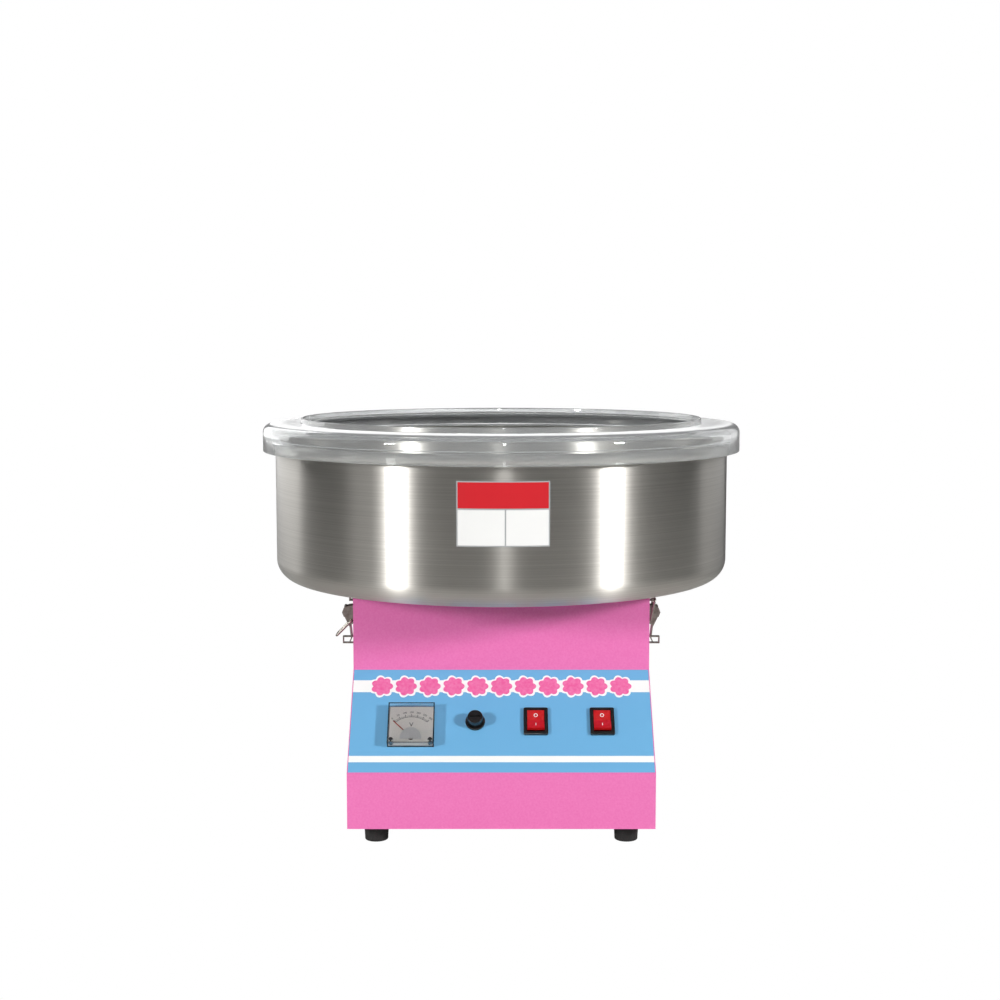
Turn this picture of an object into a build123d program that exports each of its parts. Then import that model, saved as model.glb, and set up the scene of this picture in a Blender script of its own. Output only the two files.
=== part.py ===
from build123d import *
from math import asin, atan2, cos, degrees, pi, radians, sin, tan
import os

# A table-top electric candy floss machine: a sheet steel cabinet with a slanted control panel, a
# stainless bowl held down by two side latches, a clear guard ring on the bowl's rim, and a spinning
# head on the spindle of an upright motor. Millimetres. +Z is up, -Y is the front with the controls,
# and the origin is on the floor under the spindle.

# ---------------------------------------------------------------- driving dimensions: fits
fixed_fit = 0.02          # radial room between pieces that are pressed or screwed together
running_fit = 0.05        # radial room between a pin or shaft and the hole that it turns in
seat_gap = 0.2            # under a piece that only lies on another
side_gap = 0.3            # beside a piece that slides or swings past another

# ---------------------------------------------------------------- driving dimensions: cabinet
sheet = 1.0               # steel of the cabinet
cabinet_width = 320.0
lower_front = 216.0       # from the spindle to the lower front face
upper_front = 126.0       # from the spindle to the upper front face
cabinet_rear = 126.0      # from the spindle to the outside of the rear cover
lower_face_height = 59.0
panel_rise = 91.0         # height of the slanted panel
upper_face_height = 84.0
flange_width = 14.0       # folded edges inside the cabinet
top_hole_radius = 30.0    # round the spindle
foot_height = 19.0
foot_top_radius = 13.2
foot_bottom_radius = 12.0
foot_inset = 28.5         # from the cabinet's sides, front and rear to the foot's centre
foot_bore_radius = 5.5    # recess that hides the foot's screw
foot_bore_depth = 11.0

# ---------------------------------------------------------------- driving dimensions: control panel
overlay_thickness = 0.3
overlay_margin = 1.0      # bare edge round the printed overlay
meter_x = -95.0
meter_up = 55.5           # up the slope from the panel's lower fold
meter_size = 49.0
meter_depth = 10.0        # the clear front stands this far out of the overlay
meter_wall = 1.2
meter_barrel_radius = 19.0
meter_barrel_depth = 24.0
meter_base_thickness = 1.5
meter_pivot_drop = 14.0   # from the meter's centre down to the needle's pivot
needle_length = 27.0
needle_half_sweep = 45.0  # degrees each side of straight up
control_up = 61.5         # fuse holder and switches, up the slope
fuse_x = -27.6
fuse_flange_radius = 10.5
fuse_flange_thickness = 2.5
fuse_cap_radius = 8.0
fuse_cap_height = 9.0
fuse_body_radius = 7.0
fuse_body_depth = 40.0
fuse_bore_radius = 4.0
fuse_link_radius = 2.6
fuse_link_length = 20.0
heat_x = 36.4
power_x = 106.6
bezel_width = 26.0
bezel_height = 33.0
bezel_depth = 3.0
switch_depth = 22.0       # housing behind the panel
switch_wall = 1.2
rocker_width = 18.0
rocker_length = 24.0
rocker_pivot_depth = 1.0  # below the overlay
rocker_tilt = 9.0         # degrees each side of level
trunnion_radius = 1.2
terminal_width = 4.8
terminal_thickness = 0.8
terminal_length = 9.0
terminal_spacing = 8.0

# ---------------------------------------------------------------- driving dimensions: bowl and guard
gasket_thickness = 1.8
gasket_outer_radius = 118.0
gasket_inner_radius = 104.0
bowl_sheet = 1.0
bowl_radius = 256.0       # outside of the wall
bowl_depth = 157.0        # from the floor's underside to the top of the rolled rim
bowl_corner_radius = 23.0
rim_overhang = 4.0        # the rolled rim stands this far outside the wall
rim_bead = 9.5            # thickness of the rolled rim
collar_radius = 78.0      # outside of the collar round the spinning head
collar_height = 25.0
collar_bead = 4.0
guard_overhang = 10.0     # from the rolled rim out to the guard's outside
guard_wall = 2.0
guard_drop = 12.2         # skirt below its seat on the rim
guard_rise = 18.0         # from that seat to the top of the flange
guard_corner_radius = 10.0
guard_shelf = 45.0        # from the guard's outside in to its opening
guard_lip_height = 6.0
guard_ledge_in = 8.0      # from the rolled rim's outside in to the guard's ledge

# ---------------------------------------------------------------- driving dimensions: latches
latch_drop = 44.0         # from the bowl's underside down to the lever's pivot
pivot_out = 16.0          # from the cabinet's side out to the lever's pivot
latch_sheet = 1.2
latch_base_width = 26.0
latch_base_drop = 40.0    # below the lever's pivot
latch_base_rise = 11.0    # above it
ear_inside = 7.0          # half the room between the latch's two ears
lever_sheet = 1.5
pin_radius = 1.5
bail_radius = 1.4         # wire
bail_bend = 2.8           # radius of the wire's bends, at its middle
bail_length = 25.0        # from the bail's pin to its crossbar
bail_pin_in = 4.0         # bail's pin, from the lever's pivot towards the cabinet
bail_pin_drop = 9.0       # bail's pin, below the lever's pivot
left_bail_swing = 135.0   # degrees from straight up: the left bail hangs outwards
staple_drop = 28.5        # from the lever's pivot down to the staple
staple_height = 8.5
staple_reach = 23.2       # from the cabinet's side
staple_width = 6.0
catch_width = 12.0
catch_in = 9.0            # from the cabinet's side out to the catch's plate
catch_reach = 15.3        # from the cabinet's side out to the hook's lip
catch_drop = 31.0         # from the bowl's underside to the hook's lower face
catch_lip_height = 5.0
catch_foot_reach = 27.0   # from the cabinet's side to the end of the riveted foot

# ---------------------------------------------------------------- driving dimensions: motor
spindle_radius = 4.0
standoff_length = 24.0
standoff_radius = 5.0
standoff_spacing = 76.0   # across flats of the square of standoffs
bracket_thickness = 2.0
bracket_size = 92.0
motor_radius = 45.0
motor_length = 106.0
low_head_height = 1.4     # of the screws in the top plate, so that they stay below the bowl
motor_wall = 1.5
motor_end = 3.0
bearing_radius = 11.0
bearing_width = 7.0
boss_radius = 15.0
boss_height = 9.0
stator_inner_radius = 27.0
air_gap = 0.5
core_length = 60.0
fan_radius = 38.0
fan_height = 14.0
fan_blades = 7
fan_hub_radius = 9.0
shaft_spacing = 5.0       # between the pieces strung on the spindle
drum_radius = 14.0
drum_length = 34.0
slip_ring_thickness = 2.0
slip_ring_width = 6.0
brush_size = 6.0
brush_length = 18.0
brush_block_wall = 5.0

# ---------------------------------------------------------------- driving dimensions: spinning head
head_clearance = 28.0     # from the bowl's floor up to the head
head_radius = 56.0
head_base_thickness = 3.0
head_hub_radius = 12.0
head_hub_length = 16.0
head_band_radius = 55.0
head_band_sheet = 0.8
head_chamber_height = 28.0
head_slots = 48
head_slot_width = 2.2
head_slot_margin = 4.0
cup_radius = 24.0
cup_wall = 2.0
cup_floor = 2.0
cup_below = 21.0          # cup's underside below the chamber's ceiling
cup_above = 21.0          # mouth above the chamber's ceiling
cap_edge = 3.0
cup_feed_holes = 8
cup_feed_radius = 2.5
heater_teeth = 40
heater_inner_radius = 42.0
heater_outer_radius = 51.0
heater_ribbon = 1.0
head_screw_circle = 35.0
head_screws = 3

# ---------------------------------------------------------------- driving dimensions: rear and screws
inlet_x = 100.0
inlet_height = 62.0       # above the floor
inlet_body_width = 27.0
inlet_body_height = 19.6
inlet_flange_width = 50.0
inlet_flange_height = 24.0
inlet_flange_thickness = 3.0
inlet_body_depth = 18.0
inlet_wall = 1.5
inlet_screw_spacing = 40.0
inlet_pin_recess = 6.0
inlet_tail_length = 12.0  # behind the socket
louvre_rows = 9
louvre_columns = 2
louvre_length = 70.0
louvre_gap = 4.0
louvre_pitch = 13.0
louvre_low = 118.0        # lowest louvre above the floor
vent_slots = 8
vent_length = 60.0
vent_width = 5.0
vent_pitch = 14.0
screw_radius = 2.0
screw_head_radius = 3.8
screw_head_height = 2.4
screw_length = 8.0
nut_radius = 4.0
nut_height = 3.2
spindle_nut_height = 5.0
rivet_radius = 1.6
rivet_head_radius = 3.0
rivet_head_height = 1.1

# ---------------------------------------------------------------- levels and places worked out
half_width = cabinet_width / 2
cabinet_bottom = foot_height
panel_low = cabinet_bottom + lower_face_height
panel_high = panel_low + panel_rise
cabinet_top = panel_high + upper_face_height
panel_depth = lower_front - upper_front
panel_angle = atan2(panel_depth, panel_rise)
panel_length = panel_depth / sin(panel_angle)
shell_rear = cabinet_rear - sheet
base_top = cabinet_bottom + sheet
plate_under = cabinet_top - sheet
gasket_top = cabinet_top + gasket_thickness
bowl_bottom = gasket_top + seat_gap
bowl_floor = bowl_bottom + bowl_sheet
rim_top = bowl_bottom + bowl_depth
rim_radius = bowl_radius + rim_overhang
guard_radius = rim_radius + guard_overhang
guard_opening_radius = guard_radius - guard_shelf
guard_ledge_radius = rim_radius - guard_ledge_in
guard_seat = rim_top + seat_gap
foot_x = half_width - foot_inset
foot_front_y = foot_inset - lower_front
foot_rear_y = cabinet_rear - foot_inset
bracket_top = plate_under - standoff_length
motor_top = bracket_top - bracket_thickness
motor_bottom = motor_top - motor_length
fan_top = motor_bottom - boss_height - shaft_spacing
fan_bottom = fan_top - fan_height
drum_top = fan_bottom - shaft_spacing
drum_bottom = drum_top - drum_length
spindle_bottom = drum_bottom - shaft_spacing
head_bottom = bowl_floor + head_clearance
chamber_floor = head_bottom + head_base_thickness
chamber_ceiling = chamber_floor + head_chamber_height
cup_bottom = chamber_ceiling - cup_below
cup_floor_top = cup_bottom + cup_floor
cup_mouth = chamber_ceiling + cup_above
spindle_top = cup_floor_top + spindle_nut_height + 1
pivot_z = bowl_bottom - latch_drop
pivot_x = half_width + pivot_out
bail_pin_x = pivot_x - bail_pin_in
bail_pin_z = pivot_z - bail_pin_drop
crossbar_x = half_width + catch_reach + side_gap + bail_radius
right_bail_swing = degrees(asin((crossbar_x - bail_pin_x) / bail_length))

# The panel's own plane: x to the right, y up the slope, z out of the cabinet.
panel = Plane(
    origin=(0, -lower_front, panel_low),
    x_dir=(1, 0, 0),
    z_dir=(0, -cos(panel_angle), sin(panel_angle)),
)


# ---------------------------------------------------------------- small shape makers
def block(x_low, x_high, y_low, y_high, z_low, z_high):
    """A box between two corners."""
    size = Box(x_high - x_low, y_high - y_low, z_high - z_low)
    return Pos((x_low + x_high) / 2, (y_low + y_high) / 2, (z_low + z_high) / 2) * size


def disc(radius, low, high, x=0, y=0):
    """An upright cylinder between two levels."""
    return Pos(x, y, (low + high) / 2) * Cylinder(radius, high - low)


def tube(outer, inner, low, high, x=0, y=0):
    """An upright tube between two levels."""
    return disc(outer, low, high, x, y) - disc(inner, low - 1, high + 1, x, y)


def turned(points):
    """The solid that an outline of (radius, height) points sweeps round the spindle."""
    outline = make_face(Plane.XZ * Polyline(*points, close=True))
    return revolve(outline, Axis.Z)


def side_cut(points, y_low, y_high):
    """An outline of (x, z) points made solid from y_low to y_high."""
    outline = make_face(Plane.XZ * Polyline(*points, close=True))
    return Pos(0, (y_low + y_high) / 2, 0) * extrude(outline, (y_high - y_low) / 2, both=True)


def cross_pin(radius, x, z, y_low, y_high):
    """A round bar along Y."""
    return Pos(x, (y_low + y_high) / 2, z) * Rot(90, 0, 0) * Cylinder(radius, y_high - y_low)


def pan_screw(length, radius=screw_radius, head_radius=screw_head_radius, head_height=screw_head_height):
    """A cross-head screw whose head stands on z = 0 and whose shank runs down."""
    head = Pos(0, 0, head_height / 2) * Cylinder(head_radius, head_height)
    head = fillet(head.edges().group_by(Axis.Z)[-1], head_height * 0.6)
    cross_length = head_radius * 1.1
    cross_width = head_radius * 0.25
    cross = Box(cross_length, cross_width, head_height) + Box(cross_width, cross_length, head_height)
    shank = Pos(0, 0, -length / 2) * Cylinder(radius, length)
    return head + shank - Pos(0, 0, head_height) * cross


def rivet(grip):
    """A domed rivet: head on z = 0, shank down through the grip, and a closing head under it."""
    head = Pos(0, 0, rivet_head_height / 2) * Cylinder(rivet_head_radius, rivet_head_height)
    head = fillet(head.edges().group_by(Axis.Z)[-1], rivet_head_height * 0.8)
    tail = Pos(0, 0, -grip - rivet_head_height / 2) * Cylinder(rivet_head_radius, rivet_head_height)
    return head + Pos(0, 0, -grip / 2) * Cylinder(rivet_radius, grip) + tail


def hex_nut(bore, radius=nut_radius, height=nut_height):
    """A nut that stands on z = 0."""
    body = extrude(RegularPolygon(radius, 6), height)
    return body - Cylinder(bore, height * 3)


def on_panel(shape, x=0, up=0):
    """A shape drawn flat, put on the slanted panel."""
    return panel.location * Pos(x, up, 0) * shape


def mirrored(shape):
    """The left-hand twin of a right-hand piece."""
    return mirror(shape, about=Plane.YZ)


def as_group(shapes):
    """Separate solids that share one node."""
    solids = []
    for shape in shapes:
        solids.extend(shape.solids())
    return Compound(children=solids)


nodes = {}

# ---------------------------------------------------------------- cabinet shell
def cabinet_profile(inset, low, high, rear):
    """Side outline of the cabinet, its front line set back by inset."""
    corner_shift = inset * tan(panel_angle / 2)
    lower = -lower_front + inset
    upper = -upper_front + inset
    return [
        (lower, low),
        (lower, panel_low - corner_shift),
        (upper, panel_high - corner_shift),
        (upper, high),
        (rear, high),
        (rear, low),
    ]


def cabinet_prism(inset, low, high, rear, half):
    """The cabinet's side outline made as wide as two times half."""
    outline = make_face(Plane.YZ * Polyline(*cabinet_profile(inset, low, high, rear), close=True))
    return extrude(outline, half, both=True)


overshoot = 10.0
panel_cuts = {
    "meter": (meter_x, meter_up, Cylinder(meter_barrel_radius + side_gap, overshoot)),
    "fuse": (fuse_x, control_up, Cylinder(fuse_body_radius + side_gap, overshoot)),
}
housing_width = rocker_width + 2 * (side_gap + switch_wall)
housing_length = 2 * (rocker_length / 2 + 4 * side_gap + switch_wall)
for name, x in (("heat", heat_x), ("power", power_x)):
    hole = Box(housing_width + 2 * side_gap, housing_length + 2 * side_gap, overshoot)
    panel_cuts[name] = (x, control_up, hole)


def with_panel_holes(shape):
    """Cuts the holes for the meter, the fuse holder and the switches."""
    for x, up, cutter in panel_cuts.values():
        shape -= on_panel(cutter, x, up)
    return shape


shell = cabinet_prism(0, cabinet_bottom, cabinet_top, shell_rear, half_width)
shell -= cabinet_prism(
    sheet, cabinet_bottom - 1, cabinet_top + 1, shell_rear + 1, half_width - sheet
)
for side in (-1, 1):
    inner = side * (half_width - flange_width)
    outer = side * (half_width - sheet / 2)
    shell += block(
        min(inner, outer),
        max(inner, outer),
        shell_rear - sheet,
        shell_rear,
        base_top + flange_width,
        plate_under - flange_width,
    )
rear_screw_x = half_width - flange_width / 2
rear_screw_levels = [
    base_top + 2 * flange_width,
    (base_top + plate_under) / 2,
    plate_under - 2 * flange_width,
]
base_screw_z = base_top + flange_width / 2
base_screw_ys = (foot_front_y + foot_inset, foot_rear_y - foot_inset)
latch_rivet_offsets = [(0.0, 7.0), (-8.5, -22.0), (8.5, -22.0)]


def along_x(shape, x, y, z, side):
    """Turns a piece drawn along +Z so that it points out of the cabinet's left or right side."""
    return Pos(x, y, z) * Rot(0, 90 * side, 0) * shape


for side in (-1, 1):
    for level in rear_screw_levels:
        hole = Rot(90, 0, 0) * Cylinder(screw_radius + fixed_fit, overshoot)
        shell -= Pos(side * rear_screw_x, shell_rear, level) * hole
    for y in base_screw_ys:
        hole = Cylinder(screw_radius + fixed_fit, overshoot)
        shell -= along_x(hole, side * half_width, y, base_screw_z, side)
    for dy, dz in latch_rivet_offsets:
        hole = Cylinder(rivet_radius + fixed_fit, overshoot)
        shell -= along_x(hole, side * half_width, dy, pivot_z + dz, side)
nodes["cabinet_shell"] = with_panel_holes(shell)

# ---------------------------------------------------------------- base plate, feet and their screws
tray_x = half_width - sheet - seat_gap
tray_front = -lower_front + sheet + seat_gap
tray_rear = shell_rear - sheet - seat_gap
tray = block(-tray_x, tray_x, tray_front, tray_rear, cabinet_bottom, base_top + flange_width)
tray -= block(
    -tray_x + sheet, tray_x - sheet, tray_front + sheet, tray_rear - sheet, base_top, base_top + 2 * flange_width
)
vent_centre = (foot_front_y + foot_rear_y) / 2
for side in (-1, 1):
    for row in range(vent_slots):
        vent_y = vent_centre + (row - (vent_slots - 1) / 2) * vent_pitch
        vent_x = side * (vent_length / 2 + 2 * flange_width)
        tray -= Pos(vent_x, vent_y, cabinet_bottom) * Box(vent_length, vent_width, overshoot)
    for y in base_screw_ys:
        hole = Cylinder(screw_radius + fixed_fit, overshoot)
        tray -= along_x(hole, side * tray_x, y, base_screw_z, side)
foot_places = {
    "foot_front_left": (-foot_x, foot_front_y),
    "foot_front_right": (foot_x, foot_front_y),
    "foot_rear_left": (-foot_x, foot_rear_y),
    "foot_rear_right": (foot_x, foot_rear_y),
}
foot_screws = []
foot_screw_length = foot_height - foot_bore_depth + sheet + nut_height + screw_radius
for name, (x, y) in foot_places.items():
    tray -= disc(screw_radius + fixed_fit, cabinet_bottom - 1, base_top + 1, x, y)
    foot = Pos(x, y, foot_height / 2) * Cone(foot_bottom_radius, foot_top_radius, foot_height)
    foot = fillet(foot.edges().group_by(Axis.Z)[0], 1.5)
    foot -= disc(foot_bore_radius, -1, foot_bore_depth, x, y)
    foot -= disc(screw_radius + fixed_fit, 0, foot_height + 1, x, y)
    nodes[name] = foot
    screw = Pos(x, y, foot_bore_depth) * Rot(180, 0, 0) * pan_screw(foot_screw_length)
    foot_screws.append(screw)
    foot_screws.append(Pos(x, y, base_top) * hex_nut(screw_radius + fixed_fit))
nodes["base_plate"] = tray
nodes["foot_screws"] = as_group(foot_screws)

base_screws = []
for side in (-1, 1):
    for y in base_screw_ys:
        base_screws.append(along_x(pan_screw(screw_length), side * half_width, y, base_screw_z, side))
nodes["base_screws"] = as_group(base_screws)

# ---------------------------------------------------------------- top plate and the bowl's gasket
top_x = half_width - sheet - seat_gap
top_front = -upper_front + sheet + seat_gap
top_rear = shell_rear - sheet - seat_gap
top = block(-top_x, top_x, top_front, top_rear, plate_under - flange_width + seat_gap, cabinet_top)
top -= block(
    -top_x + sheet, top_x - sheet, top_front + sheet, top_rear - sheet, plate_under - flange_width - 1, plate_under
)
top -= disc(top_hole_radius, plate_under - 1, cabinet_top + 1)
standoff_places = []
for side_x in (-1, 1):
    for side_y in (-1, 1):
        standoff_places.append((side_x * standoff_spacing / 2, side_y * standoff_spacing / 2))
for x, y in standoff_places:
    top -= disc(screw_radius + fixed_fit, plate_under - 1, cabinet_top + 1, x, y)
nodes["top_plate"] = top
nodes["bowl_gasket"] = tube(gasket_outer_radius, gasket_inner_radius, cabinet_top, gasket_top)

# ---------------------------------------------------------------- rear cover, mains inlet and screws
cover = block(-half_width, half_width, shell_rear, cabinet_rear, cabinet_bottom, cabinet_top)
for side in (-1, 1):
    for level in rear_screw_levels:
        hole = Rot(90, 0, 0) * Cylinder(screw_radius + fixed_fit, overshoot)
        cover -= Pos(side * rear_screw_x, cabinet_rear, level) * hole
for column in range(louvre_columns):
    louvre_x = (column - (louvre_columns - 1) / 2) * louvre_length * 1.4
    for row in range(louvre_rows):
        level = louvre_low + row * louvre_pitch
        cover -= Pos(louvre_x, cabinet_rear, level) * Box(louvre_length, overshoot, louvre_gap)
inlet_cut = Box(inlet_body_width + 2 * side_gap, overshoot, inlet_body_height + 2 * side_gap)
cover -= Pos(inlet_x, cabinet_rear, inlet_height) * inlet_cut
for side in (-1, 1):
    hole = Rot(90, 0, 0) * Cylinder(screw_radius + fixed_fit, overshoot)
    cover -= Pos(inlet_x + side * inlet_screw_spacing / 2, cabinet_rear, inlet_height) * hole
nodes["rear_cover"] = cover

inlet_face = cabinet_rear + inlet_flange_thickness
flange_plate = Box(inlet_flange_width, inlet_flange_thickness, inlet_flange_height)
flange_plate = fillet(flange_plate.edges().filter_by(Axis.Y), inlet_flange_height / 3)
inlet = Pos(inlet_x, cabinet_rear + inlet_flange_thickness / 2, inlet_height) * flange_plate
half_w = inlet_body_width / 2
half_h = inlet_body_height / 2
inlet += block(
    inlet_x - half_w,
    inlet_x + half_w,
    cabinet_rear - inlet_body_depth,
    cabinet_rear + inlet_flange_thickness / 2,
    inlet_height - half_h,
    inlet_height + half_h,
)
socket_back = cabinet_rear - inlet_body_depth + 2 * inlet_wall
inlet -= block(
    inlet_x - half_w + inlet_wall,
    inlet_x + half_w - inlet_wall,
    socket_back,
    inlet_face + 1,
    inlet_height - half_h + inlet_wall,
    inlet_height + half_h - inlet_wall,
)
inlet_pin_places = [(-7.0, -2.0), (0.0, 2.0), (7.0, -2.0)]
inlet_pins = []
for dx, dz in inlet_pin_places:
    pin_x = inlet_x + dx
    pin_z = inlet_height + dz
    blade = block(pin_x - 1, pin_x + 1, socket_back, inlet_face - inlet_pin_recess, pin_z - 2, pin_z + 2)
    tail = block(pin_x - 1, pin_x + 1, socket_back - inlet_tail_length, socket_back, pin_z - 1, pin_z + 1)
    inlet_pins.append(blade + tail)
    inlet -= block(
        pin_x - 1 - fixed_fit,
        pin_x + 1 + fixed_fit,
        socket_back - inlet_tail_length,
        socket_back,
        pin_z - 1 - fixed_fit,
        pin_z + 1 + fixed_fit,
    )
rear_screws = []
for side in (-1, 1):
    screw_x = inlet_x + side * inlet_screw_spacing / 2
    hole = Rot(90, 0, 0) * Cylinder(screw_radius + fixed_fit, overshoot)
    inlet -= Pos(screw_x, cabinet_rear, inlet_height) * hole
    screw = pan_screw(screw_length)
    rear_screws.append(Pos(screw_x, inlet_face, inlet_height) * Rot(-90, 0, 0) * screw)
    for level in rear_screw_levels:
        place = Pos(side * rear_screw_x, cabinet_rear, level)
        rear_screws.append(place * Rot(-90, 0, 0) * pan_screw(screw_length))
nodes["mains_inlet"] = inlet
nodes["inlet_pins"] = as_group(inlet_pins)
nodes["rear_screws"] = as_group(rear_screws)

# ---------------------------------------------------------------- printed overlay of the panel
overlay = Pos(0, panel_length / 2, overlay_thickness / 2) * Box(
    cabinet_width - 2 * overlay_margin, panel_length - 2 * overlay_margin, overlay_thickness
)
nodes["panel_overlay"] = with_panel_holes(on_panel(overlay))

# ---------------------------------------------------------------- voltmeter
meter_face = overlay_thickness + meter_depth
meter_base_top = overlay_thickness + meter_base_thickness
meter_plate = Pos(0, 0, overlay_thickness + meter_base_thickness / 2) * Box(
    meter_size, meter_size, meter_base_thickness
)
barrel = Pos(0, 0, -meter_barrel_depth / 2) * Cylinder(meter_barrel_radius, meter_barrel_depth)
neck = Cylinder(meter_barrel_radius, 2 * overlay_thickness)
meter_case = meter_plate + barrel + neck
dial_low = meter_base_top
dial_high = dial_low + 0.8
needle_low = dial_high + 1.0
needle_high = needle_low + 0.5
post_radius = 3.0
axle_radius = 0.8
meter_case += Pos(0, -meter_pivot_drop, 0) * disc(post_radius, overlay_thickness, needle_low - side_gap)
meter_case += Pos(0, -meter_pivot_drop, 0) * disc(axle_radius, overlay_thickness, needle_high + side_gap)
meter_inside = meter_size - 2 * (meter_wall + side_gap)
dial = block(
    -meter_inside / 2, meter_inside / 2, -meter_inside / 2, meter_inside / 2, dial_low, dial_high
)
dial -= disc(post_radius + side_gap, dial_low - 1, dial_high + 1, 0, -meter_pivot_drop)
window = Pos(0, 0, (meter_base_top + meter_face) / 2) * Box(
    meter_size, meter_size, meter_face - meter_base_top
)
window = fillet(window.edges().group_by(Axis.Z)[-1], 1.0)
window -= Pos(0, 0, (meter_base_top + meter_face) / 2 - meter_wall) * Box(
    meter_size - 2 * meter_wall, meter_size - 2 * meter_wall, meter_face - meter_base_top
)
meter_screws = []
meter_screw_inset = 4.0
meter_screw_radius = 1.2
screw_boss_radius = 2.6
for side in (-1, 1):
    x = side * (meter_size / 2 - meter_screw_inset)
    y = -meter_size / 2 + meter_screw_inset
    window += disc(screw_boss_radius, dial_high + side_gap, meter_face - meter_wall / 2, x, y)
    window -= disc(meter_screw_radius + fixed_fit, 0, meter_face + 1, x, y)
    dial -= disc(meter_screw_radius + side_gap, dial_low - 1, dial_high + 1, x, y)
    meter_case -= disc(meter_screw_radius + fixed_fit, 0, meter_base_top + 1, x, y)
    screw = pan_screw(meter_face - overlay_thickness, meter_screw_radius, 2.0, 0.8)
    meter_screws.append(Pos(x, y, meter_face) * screw)
needle = Pos(0, needle_length / 2, 0) * Box(0.9, needle_length, needle_high - needle_low)
needle += Cylinder(post_radius, needle_high - needle_low)
needle -= Cylinder(axle_radius + running_fit, overshoot)
needle = Rot(0, 0, needle_half_sweep) * needle
needle = Pos(0, -meter_pivot_drop, (needle_low + needle_high) / 2) * needle
nodes["meter_case"] = on_panel(meter_case, meter_x, meter_up)
nodes["meter_dial"] = on_panel(dial, meter_x, meter_up)
nodes["meter_window"] = on_panel(window, meter_x, meter_up)
nodes["meter_needle"] = on_panel(needle, meter_x, meter_up)
nodes["meter_screws"] = on_panel(as_group(meter_screws), meter_x, meter_up)

# ---------------------------------------------------------------- fuse holder
fuse_flange_top = overlay_thickness + fuse_flange_thickness
holder = disc(fuse_flange_radius, overlay_thickness, fuse_flange_top)
holder = chamfer(holder.edges().group_by(Axis.Z)[-1], 0.8)
holder += disc(fuse_body_radius, -fuse_body_depth, fuse_flange_top - 1)
holder -= disc(fuse_bore_radius, -fuse_body_depth + 2, fuse_flange_top + 1)
cap_low = fuse_flange_top + seat_gap
cap_top = cap_low + fuse_cap_height
shank_radius = fuse_bore_radius - running_fit
shank_length = 8.0
cap = disc(fuse_cap_radius, cap_low, cap_top)
cap = fillet(cap.edges().group_by(Axis.Z)[-1], 1.0)
cap += disc(shank_radius, cap_low - shank_length, cap_low + 1)
cap -= Pos(0, 0, cap_top) * Box(fuse_cap_radius * 1.3, 1.6, 4.0)
link_top = cap_low - shank_length
link = disc(fuse_link_radius, link_top - fuse_link_length, link_top)
nodes["fuse_holder"] = on_panel(holder, fuse_x, control_up)
nodes["fuse_cap"] = on_panel(cap, fuse_x, control_up)
nodes["fuse_link"] = on_panel(link, fuse_x, control_up)

# ---------------------------------------------------------------- heat and power switches
bezel_top = overlay_thickness + bezel_depth
switch_body = Pos(0, 0, overlay_thickness + bezel_depth / 2) * Box(bezel_width, bezel_height, bezel_depth)
switch_body = fillet(switch_body.edges().filter_by(Axis.Z), 2.0)
switch_body = fillet(switch_body.edges().group_by(Axis.Z)[-1], 0.8)
housing = block(
    -housing_width / 2,
    housing_width / 2,
    -housing_length / 2,
    housing_length / 2,
    -switch_depth,
    overlay_thickness + bezel_depth / 2,
)
cavity = block(
    -housing_width / 2 + switch_wall,
    housing_width / 2 - switch_wall,
    -housing_length / 2 + switch_wall,
    housing_length / 2 - switch_wall,
    -switch_depth + 2 * switch_wall,
    bezel_top + 1,
)
pivot_hole = Pos(0, 0, -rocker_pivot_depth) * Rot(0, 90, 0) * Cylinder(trunnion_radius + running_fit, 2 * bezel_width)
switch_body = switch_body + housing - cavity - pivot_hole

rocker_top_edge = bezel_top + rocker_pivot_depth + 1.6
rocker_top_middle = bezel_top + rocker_pivot_depth - 0.6
rocker_side = bezel_top - 1.0
rocker_bottom = -5.0
half_length = rocker_length / 2
rocker_outline = [
    (-half_length, rocker_top_edge),
    (0, rocker_top_middle),
    (half_length, rocker_top_edge),
    (half_length, rocker_side),
    (half_length * 0.62, rocker_bottom),
    (-half_length * 0.62, rocker_bottom),
    (-half_length, rocker_side),
]
rocker_face = make_face(Plane.YZ * Polyline(*rocker_outline, close=True))
rocker = extrude(rocker_face, rocker_width / 2, both=True)
trunnion_length = housing_width - 2 * side_gap
rocker += Rot(0, 90, 0) * Cylinder(trunnion_radius, trunnion_length)
rocker = Pos(0, 0, -rocker_pivot_depth) * Rot(-rocker_tilt, 0, 0) * rocker

terminals = []
for x in (heat_x, power_x):
    for dy in (-terminal_spacing, 0.0, terminal_spacing):
        blade = block(
            -terminal_width / 2,
            terminal_width / 2,
            dy - terminal_thickness / 2,
            dy + terminal_thickness / 2,
            -switch_depth - terminal_length,
            -switch_depth,
        )
        terminals.append(on_panel(blade, x, control_up))
for name, x in (("heat", heat_x), ("power", power_x)):
    nodes[name + "_switch_body"] = on_panel(switch_body, x, control_up)
    nodes[name + "_rocker"] = on_panel(rocker, x, control_up)
nodes["switch_terminals"] = as_group(terminals)

# ---------------------------------------------------------------- bowl
def bowl_section(inset, corner):
    """Half section of the bowl's outside, or of its hollow when inset by the sheet."""
    section = make_face(
        Plane.XZ
        * Polyline(
            (0, bowl_bottom + inset),
            (bowl_radius - inset, bowl_bottom + inset),
            (bowl_radius - inset, rim_top - rim_bead / 2),
            (0, rim_top - rim_bead / 2),
            close=True,
        )
    )
    foot_corner = section.vertices().filter_by(lambda v: v.Z < bowl_floor + 1).sort_by(Axis.X)[-1]
    return fillet(foot_corner, corner)


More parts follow.
